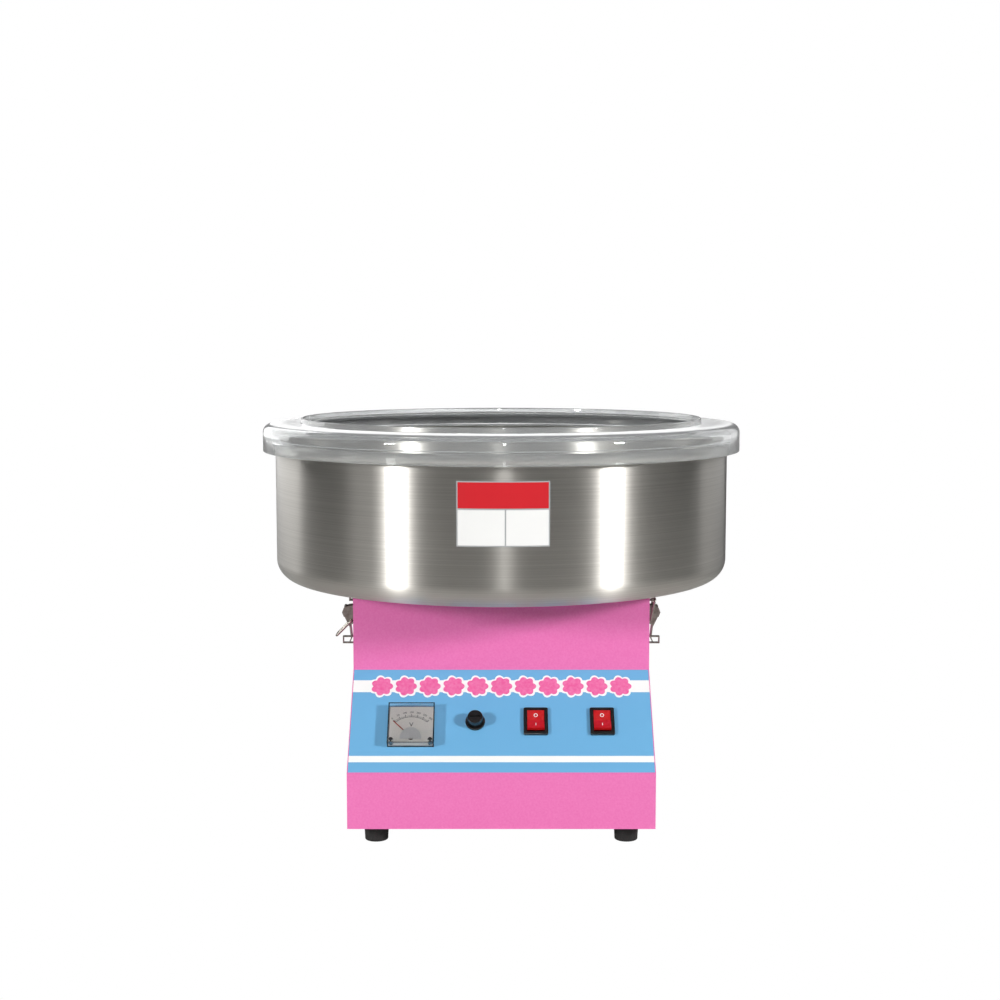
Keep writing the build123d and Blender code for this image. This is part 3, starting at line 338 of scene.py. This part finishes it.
feet = bake(
    "rubber_feet", grid,
    {
        "Across": rear_middle.x - front_middle.x,
        "Deep": rear_middle.y - front_middle.y,
        "Middle": (middle.x, middle.y, 0.0),
        "Finish": rubber,
    },
    foot.data,
)
bpy.data.objects.remove(foot)
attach(feet, "cabinet")
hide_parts("foot_front_left", "foot_front_right", "foot_rear_left", "foot_rear_right")
dress(rubber, "bowl_gasket")

# ---------------------------------------------------------------- bowl
# Spun and rolled stainless steel: a flat floor with a rounded foot, an upright wall with a rolled rim, and
# a collar round the head. The wall is brushed round its length, so each light draws out into an upright band.
# AISI 304, brushed with about 180 grit: the scratches are 0.1 mm apart, drawn at 1 mm so that they show.
stainless, tree, shader = finish_from(
    "brushed_stainless_steel", linear("#C2BFB9"), metallic=1.0, roughness=0.36, anisotropic=0.95,
    anisotropic_rotation=0.25,
)
around = add(tree, "ShaderNodeTangent", direction_type="RADIAL", axis="Z")
tree.links.new(around.outputs[0], shader.inputs["Tangent"])
scratches = grain(tree, shader, (1.5, 1.5, 2200), 0.05, 0.0001, 3.0)
shaded(tree, shader, scratches, 0.3, 0.7, linear("#B8B5AF"), linear("#CBC8C2"))
sheet = 0.001
wall_radius = 0.256
underside = 0.255
corner = 0.023
rim_top = 0.412
rim_overhang = 0.004
bead = 0.00475
bead_centre = wall_radius + rim_overhang - bead
bead_level = rim_top - bead
collar = 0.078
collar_height = 0.025
collar_bend = 0.002
bowl_outline = [
    (collar - sheet, underside),
    *arc(wall_radius - corner, underside + corner, corner, -90, 0, 14),
    *arc(bead_centre, bead_level, bead, -80, 267, 30),
    *arc(wall_radius - corner, underside + corner, corner - sheet, 0, -90, 14),
    (collar + collar_bend, underside + sheet),
    (collar, underside + sheet + collar_bend),
    *arc(collar, underside + sheet + collar_height, collar_bend, -88, 238, 16),
]
bowl = turned("spun_bowl", bowl_outline, stainless, 256, 40)
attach(bowl, "bowl")
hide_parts("bowl")

# ---------------------------------------------------------------- guard
# A clear moulded ring that sits loose on the rolled rim: a skirt outside the rim, a flat flange that keeps
# the floss in, and a low lip round the opening. Polycarbonate, polished by its mould, with the light haze
# and sheen of fine scratches from use.
clear, tree, shader = finish_from(
    "moulded_clear_polycarbonate", linear("#FAFCFC"), roughness=0.03, transmission_weight=0.84, ior=1.45,
    sheen_weight=0.7, sheen_roughness=0.35,
)
grain(tree, shader, (120, 120, 120), 0.03, 0.0003)
skirt_out = 0.2699
skirt_in = 0.2680
skirt_low = 0.4000
edge = 0.0002
shoulder = 0.2600
flange_top = 0.4302
flange_under = 0.4282
opening = 0.225
lip = 0.0020
lip_top = 0.4362
lip_foot = 0.0006
ledge_in = 0.2520
ledge_low = 0.4122
ledge_high = 0.4142
guard_outline = [
    (skirt_in + edge, skirt_low), (skirt_out - edge, skirt_low), (skirt_out, skirt_low + 1.5 * edge),
    *arc(shoulder, flange_top - skirt_out + shoulder, skirt_out - shoulder, 0, 90, 10),
    (opening + lip + lip_foot, flange_top), (opening + lip, flange_top + lip_foot),
    *arc(opening + lip / 2, lip_top - lip / 2, lip / 2, 0, 180, 8),
    (opening, flange_under),
    *arc(shoulder, flange_under - skirt_in + shoulder, skirt_in - shoulder, 90, 0, 10),
    (skirt_in, ledge_high), (ledge_in, ledge_high), (ledge_in, ledge_low), (skirt_in, ledge_low),
    (skirt_in, skirt_low + edge),
]
guard = turned("clear_guard", guard_outline, clear, 256, 40)
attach(guard, "guard")
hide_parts("rim_guard")

# ---------------------------------------------------------------- spinning head
# Two aluminium castings, turned bright, clamp a slotted stainless band and the heater between them. The
# sugar goes into the cup in the middle, melts against the band and is flung out through its slots.
cast, tree, shader = finish_from("turned_cast_aluminium", linear("#C9CACC"), metallic=1.0, roughness=0.34)
turning_marks = grain(tree, shader, (300, 300, 900), 0.10, 0.0002)
shaded(tree, shader, turning_marks, 0.3, 0.7, linear("#B6B7BA"), linear("#D6D7D9"))
dress(cast, "spinner_base", "spinner_cap", "motor_end_bell")
band_steel, tree, shader = finish_from(
    "heat_tinted_stainless_steel", linear("#B9AE9B"), metallic=1.0, roughness=0.30
)
tint = grain(tree, shader, (30, 30, 200), 0.05, 0.0002)
shaded(tree, shader, tint, 0.35, 0.65, linear("#A8987E"), linear("#C6C0B4"))
dress(band_steel, "spinner_band", "heating_element")

# ---------------------------------------------------------------- printed panel
# The slanted panel carries a printed vinyl film: sky blue with two white stripes across its whole width.
# The film is laminated, so it is satin, and its print is flat and even.
panel_low = Vector((0, -0.216, 0.078))
panel_lean = atan2(0.090, 0.091)
panel_up = Vector((0, sin(panel_lean), cos(panel_lean)))
panel_out = Vector((0, -cos(panel_lean), sin(panel_lean)))
panel_height = 0.128
film = 0.0003


def on_panel(x, up, out=film):
    """The place of a flat drawing on the panel: its x across, its y up the slope and its z out of it."""
    origin = panel_low + Vector((x, 0, 0)) + panel_up * up + panel_out * out
    matrix = Matrix.Identity(4)
    for column, axis in enumerate((Vector((1, 0, 0)), panel_up, panel_out, origin)):
        for row in range(3):
            matrix[row][column] = axis[row]
    return matrix


vinyl, tree, shader = finish_from(
    "laminated_printed_vinyl", linear("#6CB2E0"), roughness=0.35, coat_weight=0.3, coat_roughness=0.2
)
place = add(tree, "ShaderNodeTexCoord")
along = add(
    tree, "ShaderNodeVectorMath", {0: place.outputs["Object"], 1: panel_up}, operation="DOT_PRODUCT"
)
start = panel_low.dot(panel_up)
climb = add(
    tree, "ShaderNodeMapRange",
    {"Value": along.outputs["Value"], "From Min": start, "From Max": start + panel_height},
)
stripes = add(tree, "ShaderNodeValToRGB", {0: climb.outputs[0]})
stripes.color_ramp.interpolation = "CONSTANT"
sky_blue = "#6FB3E0"
stripe_white = "#FBFDFB"
stripe_edges = (
    (0.0, sky_blue), (0.0129, stripe_white), (0.0201, sky_blue), (0.0983, stripe_white), (0.1135, sky_blue)
)
while len(stripes.color_ramp.elements) < len(stripe_edges):
    stripes.color_ramp.elements.new(1.0)
for element, (up, code) in zip(stripes.color_ramp.elements, stripe_edges):
    element.position = up / panel_height
    element.color = linear(code)
tree.links.new(stripes.outputs[0], shader.inputs["Base Color"])
grain(tree, shader, (700, 700, 700), 0.04, 0.0001)
dress(vinyl, "panel_overlay")


def puff_tree():
    """A row of flat, lobed puffs: count of them, spaced along x, each a filled outline with a thickness."""
    group, given = new_tree(
        "row_of_puffs",
        (
            ("Count", "Int"), ("Spacing", "Float"), ("Radius", "Float"), ("Lobes", "Float"),
            ("Lobe Depth", "Float"), ("Thickness", "Float"),
        ),
        "Puffs",
    )
    ring = add(group, "GeometryNodeCurvePrimitiveCircle", {"Resolution": 80, "Radius": given["Radius"]})
    spot = add(group, "GeometryNodeInputPosition")
    parts = add(group, "ShaderNodeSeparateXYZ", {0: spot.outputs[0]})
    angle = add(group, "ShaderNodeMath", {0: parts.outputs[1], 1: parts.outputs[0]}, operation="ARCTAN2")
    half_lobes = add(group, "ShaderNodeMath", {0: given["Lobes"], 1: 0.5}, operation="MULTIPLY")
    phase = add(
        group, "ShaderNodeMath", {0: angle.outputs[0], 1: half_lobes.outputs[0]}, operation="MULTIPLY"
    )
    wave = add(group, "ShaderNodeMath", {0: phase.outputs[0]}, operation="COSINE")
    crest = add(group, "ShaderNodeMath", {0: wave.outputs[0]}, operation="ABSOLUTE")
    swell = add(group, "ShaderNodeMath", {0: crest.outputs[0], 1: given["Lobe Depth"]}, operation="MULTIPLY")
    outwards = add(group, "ShaderNodeVectorMath", {0: spot.outputs[0]}, operation="NORMALIZE")
    shift = add(
        group, "ShaderNodeVectorMath", {0: outwards.outputs[0], "Scale": swell.outputs[0]}, operation="SCALE"
    )
    lobed = add(group, "GeometryNodeSetPosition", {"Geometry": ring.outputs[0], "Offset": shift.outputs[0]})
    filled = add(group, "GeometryNodeFillCurve", {0: lobed.outputs[0]})
    thick = add(
        group, "GeometryNodeExtrudeMesh",
        {"Mesh": filled.outputs[0], "Offset Scale": given["Thickness"], "Individual": False},
    )
    under = add(group, "GeometryNodeFlipFaces", {"Mesh": filled.outputs[0]})
    whole = add(group, "GeometryNodeJoinGeometry")
    group.links.new(under.outputs[0], whole.inputs[0])
    group.links.new(thick.outputs[0], whole.inputs[0])
    spaces = add(group, "ShaderNodeCombineXYZ", {"X": given["Spacing"]})
    line = add(group, "GeometryNodeMeshLine", {"Count": given["Count"], "Offset": spaces.outputs[0]})
    copies = add(
        group, "GeometryNodeInstanceOnPoints", {"Points": line.outputs[0], "Instance": whole.outputs[0]}
    )
    end_tree(group, copies.outputs[0], given["Finish"], "Puffs")
    return group


# Screen-printed ink, thick enough to catch the light: white for the rims of the puffs and pink for their
# middles.
white_ink, tree, shader = finish_from("screen_printed_white_ink", linear("#FCFCFC"), roughness=0.4)
grain(tree, shader, (900, 900, 900), 0.05, 0.0001)
pink_ink, tree, shader = finish_from("screen_printed_pink_ink", linear("#EE66A4"), roughness=0.4)
ink_grain = grain(tree, shader, (300, 300, 300), 0.05, 0.0001)
shaded(tree, shader, ink_grain, 0.3, 0.7, linear("#EC5E9F"), linear("#F07FB3"))
puffs = puff_tree()
puff_count = 11
puff_spacing = 0.0256
puff_up = 0.1057
for name, ink, radius, depth, low in (
    ("puff_rims", white_ink, 0.0112, 0.0030, film),
    ("puff_middles", pink_ink, 0.0092, 0.0026, film + 0.0002),
):
    row = bake(
        name, puffs,
        {
            "Count": puff_count, "Spacing": puff_spacing, "Radius": radius, "Lobes": 7.0, "Lobe Depth": depth,
            "Thickness": 0.0002, "Finish": ink,
        },
    )
    row.data.transform(on_panel(-puff_spacing * (puff_count - 1) / 2, puff_up, low))
    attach(row, "cabinet")

# ---------------------------------------------------------------- voltmeter
# A square panel meter: black moulded case behind, a printed white card, a red needle, and a clear front held
# by two black screws. The lower middle of the front is frosted to hide the movement.
black_moulding, tree, shader = finish_from("moulded_black_abs", linear("#17171A"), roughness=0.5)
sparkle = grain(tree, shader, (1200, 1200, 1200), 0.10, 0.0001)
shaded(tree, shader, sparkle, 0.3, 0.7, linear("#141416"), linear("#1C1C1F"))
dress(
    black_moulding, "meter_case", "meter_screws", "mains_inlet", "cooling_fan", "slip_ring_drum",
    "brush_holder",
)
card, tree, shader = finish_from("coated_white_card", linear("#F4F2EC"), roughness=0.55)
grain(tree, shader, (2000, 2000, 2000), 0.05, 0.00005)
dress(card, "meter_dial")
needle_paint, tree, shader = finish_from("red_enamelled_needle", linear("#A01812"), roughness=0.4)
grain(tree, shader, (2000, 2000, 2000), 0.05, 0.00005)
dress(needle_paint, "meter_needle")
lens, tree, shader = finish_from(
    "moulded_clear_polystyrene", linear("#FDFDFD"), roughness=0.02, transmission_weight=1.0, ior=1.3
)
grain(tree, shader, (200, 200, 200), 0.02, 0.0001)
dress(lens, "meter_window")
frosted, tree, shader = finish_from(
    "sandblasted_polystyrene", linear("#D9DADA"), roughness=0.6, transmission_weight=0.35, ior=1.45
)
grain(tree, shader, (2500, 2500, 2500), 0.2, 0.0001)
meter_x = -0.095
meter_up = 0.0555
meter_depth = 0.010
meter_back = 0.0015
card_thickness = 0.0008
window_wall = 0.0012
pivot_drop = 0.014
card_top = film + meter_back + card_thickness


def plate(name, outline, thickness, finish, matrix, sharp=32):
    """A flat piece cut to an outline of (x, y) points, lifted by its thickness, and put in place."""
    work = bmesh.new()
    points = [work.verts.new((x, y, 0)) for x, y in outline]
    face = work.faces.new(points)
    lifted = bmesh.ops.extrude_face_region(work, geom=[face])["geom"]
    tops = [item for item in lifted if isinstance(item, bmesh.types.BMVert)]
    bmesh.ops.translate(work, verts=tops, vec=(0, 0, thickness))
    bmesh.ops.recalc_face_normals(work, faces=work.faces)
    mesh = bpy.data.meshes.new(name)
    work.to_mesh(mesh)
    work.free()
    mesh.materials.append(finish)
    mesh.transform(matrix)
    mesh.shade_smooth()
    mesh.set_sharp_from_angle(angle=radians(sharp))
    piece = bpy.data.objects.new(name, mesh)
    bpy.context.scene.collection.objects.link(piece)
    return piece


dome_radius = 0.0115
dome_foot = -0.0195
dome_stretch = 1.2
dome_steps = 32
dome_thickness = 0.0004
dome_gap = 0.0002
dome_angles = [pi * i / dome_steps for i in range(dome_steps + 1)]
dome = plate(
    "frosted_cover",
    [(dome_radius * cos(a), dome_foot + dome_stretch * dome_radius * sin(a)) for a in dome_angles],
    dome_thickness, frosted,
    on_panel(meter_x, meter_up, film + meter_depth - window_wall - dome_thickness - dome_gap),
)
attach(dome, "cabinet")

black_ink, tree, shader = finish_from("printed_black_ink", linear("#1A1A1A"), roughness=0.6)
grain(tree, shader, (2000, 2000, 2000), 0.05, 0.00005)
scale, given = new_tree(
    "marks_on_an_arc",
    (
        ("Count", "Int"), ("Radius", "Float"), ("Half Sweep", "Float"), ("Length", "Float"),
        ("Width", "Float"), ("Thickness", "Float"),
    ),
    "Marks",
)
size = add(scale, "ShaderNodeCombineXYZ", {0: given["Width"], 1: given["Length"], 2: given["Thickness"]})
mark = add(scale, "GeometryNodeMeshCube", {"Size": size.outputs[0]})
spots = add(scale, "GeometryNodeMeshLine", {"Count": given["Count"]})
number = add(scale, "GeometryNodeInputIndex")
last = add(scale, "ShaderNodeMath", {0: given["Count"], 1: 1.0}, operation="SUBTRACT")
share = add(scale, "ShaderNodeMath", {0: number.outputs[0], 1: last.outputs[0]}, operation="DIVIDE")
from_middle = add(scale, "ShaderNodeMath", {0: 0.5, 1: share.outputs[0]}, operation="SUBTRACT")
sweep = add(scale, "ShaderNodeMath", {0: given["Half Sweep"], 1: 2.0}, operation="MULTIPLY")
lean = add(scale, "ShaderNodeMath", {0: from_middle.outputs[0], 1: sweep.outputs[0]}, operation="MULTIPLY")
turn = add(scale, "ShaderNodeCombineXYZ", {2: lean.outputs[0]})
reach = add(scale, "ShaderNodeCombineXYZ", {1: given["Radius"]})
swung = add(
    scale, "ShaderNodeVectorRotate", {"Vector": reach.outputs[0], "Rotation": turn.outputs[0]},
    rotation_type="EULER_XYZ",
)
placed = add(scale, "GeometryNodeSetPosition", {"Geometry": spots.outputs[0], "Position": swung.outputs[0]})
copies = add(
    scale, "GeometryNodeInstanceOnPoints",
    {"Points": placed.outputs[0], "Instance": mark.outputs[0], "Rotation": turn.outputs[0]},
)
end_tree(scale, copies.outputs[0], given["Finish"], "Marks")
half_sweep = radians(42)
ink_depth = 0.00008
for name, count, radius, length, width in (
    ("scale_line", 61, 0.0245, 0.0003, 0.0008),
    ("scale_marks", 31, 0.0256, 0.0022, 0.00025),
    ("scale_tens", 7, 0.0262, 0.0034, 0.0005),
):
    marks = bake(
        name, scale,
        {
            "Count": count, "Radius": radius, "Half Sweep": half_sweep, "Length": length, "Width": width,
            "Thickness": ink_depth, "Finish": black_ink,
        },
    )
    marks.data.transform(on_panel(meter_x, meter_up - pivot_drop, card_top + ink_depth / 2))
    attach(marks, "cabinet")


def lettering(name, text, height, finish, matrix, depth=ink_depth):
    """Printed characters, as flat meshes."""
    curve = bpy.data.curves.new(name, "FONT")
    curve.body = text
    curve.size = height
    curve.align_x = "CENTER"
    curve.align_y = "CENTER"
    curve.extrude = depth / 2
    curve.resolution_u = 3
    holder = bpy.data.objects.new(name, curve)
    bpy.context.scene.collection.objects.link(holder)
    bpy.context.view_layer.update()
    mesh = bpy.data.meshes.new_from_object(holder.evaluated_get(bpy.context.evaluated_depsgraph_get()))
    bpy.data.objects.remove(holder)
    mesh.materials.clear()
    mesh.materials.append(finish)
    close(mesh)
    mesh.transform(matrix)
    piece = bpy.data.objects.new(name, mesh)
    bpy.context.scene.collection.objects.link(piece)
    return piece


numbers = (0, 50, 100, 150, 200, 250, 300)
number_height = 0.0030
number_radius = 0.0302
unit_height = 0.0070
unit_rise = 0.001
for count, number in enumerate(numbers):
    lean = half_sweep * (1 - 2 * count / (len(numbers) - 1))
    digits = lettering(
        f"scale_number_{number}", str(number), number_height, black_ink,
        on_panel(meter_x, meter_up - pivot_drop, card_top + ink_depth / 2)
        @ Matrix.Rotation(lean, 4, "Z")
        @ Matrix.Translation((0, number_radius, 0)),
    )
    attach(digits, "cabinet")
unit = lettering(
    "scale_unit", "V", unit_height, black_ink,
    on_panel(meter_x, meter_up + unit_rise, card_top + ink_depth / 2),
)
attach(unit, "cabinet")

# ---------------------------------------------------------------- fuse holder
# A round panel fuse holder of glossy black phenolic: a flange, and a screw cap with a slot for a coin and a
# ribbed edge. The cap and the glass fuse come out together.
phenolic, tree, shader = finish_from(
    "moulded_black_phenolic", linear("#0E0E0F"), roughness=0.22, coat_weight=0.4, coat_roughness=0.08
)
grain(tree, shader, (400, 400, 400), 0.04, 0.0001)
dress(phenolic, "fuse_holder", "fuse_cap", "heat_switch_body", "power_switch_body")
fuse_x = -0.0276
control_up = 0.0615
ribs, given = new_tree(
    "ribs_round_a_cap",
    (("Count", "Int"), ("Radius", "Float"), ("Rib", "Float"), ("Height", "Float")),
    "Ribs",
)
ring = add(ribs, "GeometryNodeMeshCircle", {"Vertices": given["Count"], "Radius": given["Radius"]})
rib = add(
    ribs, "GeometryNodeMeshCylinder", {"Vertices": 8, "Radius": given["Rib"], "Depth": given["Height"]}
)
copies = add(
    ribs, "GeometryNodeInstanceOnPoints", {"Points": ring.outputs[0], "Instance": rib.outputs["Mesh"]}
)
end_tree(ribs, copies.outputs[0], given["Finish"], "Ribs")
rib_middle = 0.0070
cap_ribs = bake(
    "fuse_cap_ribs", ribs,
    {"Count": 30, "Radius": 0.0079, "Rib": 0.0004, "Height": 0.0064, "Finish": phenolic},
)
cap_ribs.data.transform(on_panel(fuse_x, control_up, rib_middle))
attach(cap_ribs, "fuse")
glass, tree, shader = finish_from(
    "drawn_glass_tube", linear("#F4F8F6"), roughness=0.01, transmission_weight=1.0, ior=1.5
)
grain(tree, shader, (100, 100, 100), 0.02, 0.0001)
dress(glass, "fuse_link")

# ---------------------------------------------------------------- rocker switches
# Two snap-in rocker switches. The rockers are clear red polycarbonate over a lamp, so they look deep and a
# little lit, with the off and on signs hot-stamped white on them.
red_rocker, tree, shader = finish_from(
    "moulded_red_polycarbonate", linear("#C4161A"), roughness=0.18, coat_weight=0.5, coat_roughness=0.06,
    subsurface_weight=0.15, subsurface_radius=(0.004, 0.001, 0.001), subsurface_scale=1.0,
)
depth_noise = grain(tree, shader, (250, 250, 250), 0.03, 0.0001)
shaded(tree, shader, depth_noise, 0.3, 0.7, linear("#BE1216"), linear("#CC1C1F"))
dress(red_rocker, "heat_rocker", "power_rocker")
brass, tree, shader = finish_from("rolled_brass_sheet", linear("#C9A25A"), metallic=1.0, roughness=0.3)
roll = grain(tree, shader, (100, 900, 100), 0.05, 0.0001)
shaded(tree, shader, roll, 0.3, 0.7, linear("#BC954D"), linear("#D3AE68"))
dress(brass, "switch_terminals", "slip_rings", "inlet_pins")


bezel_depth = 0.003
rocker_pivot = 0.001
rocker_half = 0.012
rocker_dish = 0.0006
rocker_edge = 0.0016
rocker_tilt = radians(9)
rocker_top = film + bezel_depth + rocker_pivot - rocker_dish
rise = atan2(rocker_edge + rocker_dish, rocker_half)
sign_place = 0.0062
sign_radius = 0.0021
sign_half = 0.0018
sign_stroke = 0.0006
sign_depth = 0.00012
ring_outline = [
    (sign_radius - sign_stroke, 0.0), (sign_radius, 0.0), (sign_radius, sign_depth),
    (sign_radius - sign_stroke, sign_depth),
]
bar_outline = [
    (sign_stroke / 2, -sign_half), (sign_stroke / 2, sign_half), (-sign_stroke / 2, sign_half),
    (-sign_stroke / 2, -sign_half),
]
for name, x in (("heat", 0.0364), ("power", 0.1066)):
    tilted = on_panel(x, control_up, -rocker_pivot) @ Matrix.Rotation(-rocker_tilt, 4, "X")
    upper_face = tilted @ Matrix.Translation((0, 0, rocker_top)) @ Matrix.Rotation(rise, 4, "X")
    lower_face = tilted @ Matrix.Translation((0, 0, rocker_top)) @ Matrix.Rotation(-rise, 4, "X")
    off_sign = turned(name + "_off_sign", ring_outline, white_ink, 32)
    off_sign.data.transform(upper_face @ Matrix.Translation((0, sign_place, 0)))
    on_sign = plate(
        name + "_on_sign", bar_outline, sign_depth, white_ink,
        lower_face @ Matrix.Translation((0, -sign_place, 0)),
    )
    for sign in (off_sign, on_sign):
        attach(sign, name + "_switch")

# ---------------------------------------------------------------- latches
# Toggle latches of pressed steel, nickel plated, with a bent wire bail. The nickel is warm and a little dull,
# darker where hands have rubbed it.
nickel, tree, shader = finish_from("nickel_plated_steel", linear("#A8A39A"), metallic=1.0, roughness=0.32)
rub = grain(tree, shader, (180, 180, 180), 0.05, 0.0002)
shaded(tree, shader, rub, 0.3, 0.7, linear("#8C877E"), linear("#B9B4AB"))
dress(
    nickel, "left_latch_base", "right_latch_base", "left_latch_lever", "right_latch_lever", "left_latch_bail",
    "right_latch_bail", "latch_pins", "latch_rivets", "left_catch", "right_catch", "catch_rivets",
)

# ---------------------------------------------------------------- inside the cabinet
# The motor's windings, the brushes and the other pieces that only show through the vents and louvres.
copper, tree, shader = finish_from("enamelled_copper_wire", linear("#8E4A24"), metallic=0.6, roughness=0.35)
wire = grain(tree, shader, (600, 600, 1800), 0.3, 0.0004)
shaded(tree, shader, wire, 0.3, 0.7, linear("#6E3518"), linear("#A65A2C"))
dress(copper, "motor_stator")
carbon, tree, shader = finish_from("pressed_carbon_graphite", linear("#2A2A2C"), roughness=0.55)
grit = grain(tree, shader, (1500, 1500, 1500), 0.1, 0.0001)
shaded(tree, shader, grit, 0.3, 0.7, linear("#202022"), linear("#38383B"))
dress(carbon, "carbon_brushes")

# ---------------------------------------------------------------- plate on the bowl
# A printed film plate stuck on the bowl's front: a silver border, a red band on top and two white fields
# below. It is bent to the wall.
silver_film, tree, shader = finish_from(
    "printed_silver_film", linear("#C9CBCD"), metallic=0.5, roughness=0.35
)
grain(tree, shader, (500, 500, 500), 0.04, 0.0001)
red_film, tree, shader = finish_from("printed_red_film", linear("#D2202A"), roughness=0.35, coat_weight=0.3)
grain(tree, shader, (500, 500, 500), 0.04, 0.0001)
white_film, tree, shader = finish_from(
    "printed_white_film", linear("#F5F5F3"), roughness=0.35, coat_weight=0.3
)
grain(tree, shader, (500, 500, 500), 0.04, 0.0001)


def wall_patch(name, left, right, low, high, lift, thickness, finish, steps=24):
    """A film bent round the bowl's wall between two sides and two heights, lifted off it by lift."""
    work = bmesh.new()
    rows = []
    for radius in (wall_radius + lift, wall_radius + lift + thickness):
        for height in (low, high):
            line = []
            for i in range(steps + 1):
                angle = (left + (right - left) * i / steps) / wall_radius
                line.append(work.verts.new((radius * sin(angle), -radius * cos(angle), height)))
            rows.append(line)
    inner_low, inner_high, outer_low, outer_high = rows
    section = (outer_low, outer_high, inner_high, inner_low, outer_low)
    for a, b in zip(section, section[1:]):
        for i in range(steps):
            work.faces.new((a[i], a[i + 1], b[i + 1], b[i]))
    for i in (0, steps):
        work.faces.new((outer_low[i], outer_high[i], inner_high[i], inner_low[i]))
    bmesh.ops.recalc_face_normals(work, faces=work.faces)
    mesh = bpy.data.meshes.new(name)
    work.to_mesh(mesh)
    work.free()
    mesh.materials.append(finish)
    mesh.shade_smooth()
    mesh.set_sharp_from_angle(angle=radians(30))
    piece = bpy.data.objects.new(name, mesh)
    bpy.context.scene.collection.objects.link(piece)
    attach(piece, "bowl")
    return piece


patch_left, patch_right, patch_low, patch_high = -0.0452, 0.0488, 0.319, 0.385
border = 0.0014
band_low = 0.3575
fields_high = 0.3560
divider = 0.004
backing = 0.0002
print_depth = 0.0001
wall_patch("bowl_plate", patch_left, patch_right, patch_low, patch_high, 0.0, backing, silver_film)
wall_patch(
    "bowl_plate_red_band", patch_left + border, patch_right - border, band_low, patch_high - border,
    backing, print_depth, red_film,
)
for side, left, right in (
    ("left", patch_left + border, divider - border / 2),
    ("right", divider + border / 2, patch_right - border),
):
    wall_patch(
        f"bowl_plate_{side}_field", left, right, patch_low + border, fields_high,
        backing, print_depth, white_film, 12,
    )
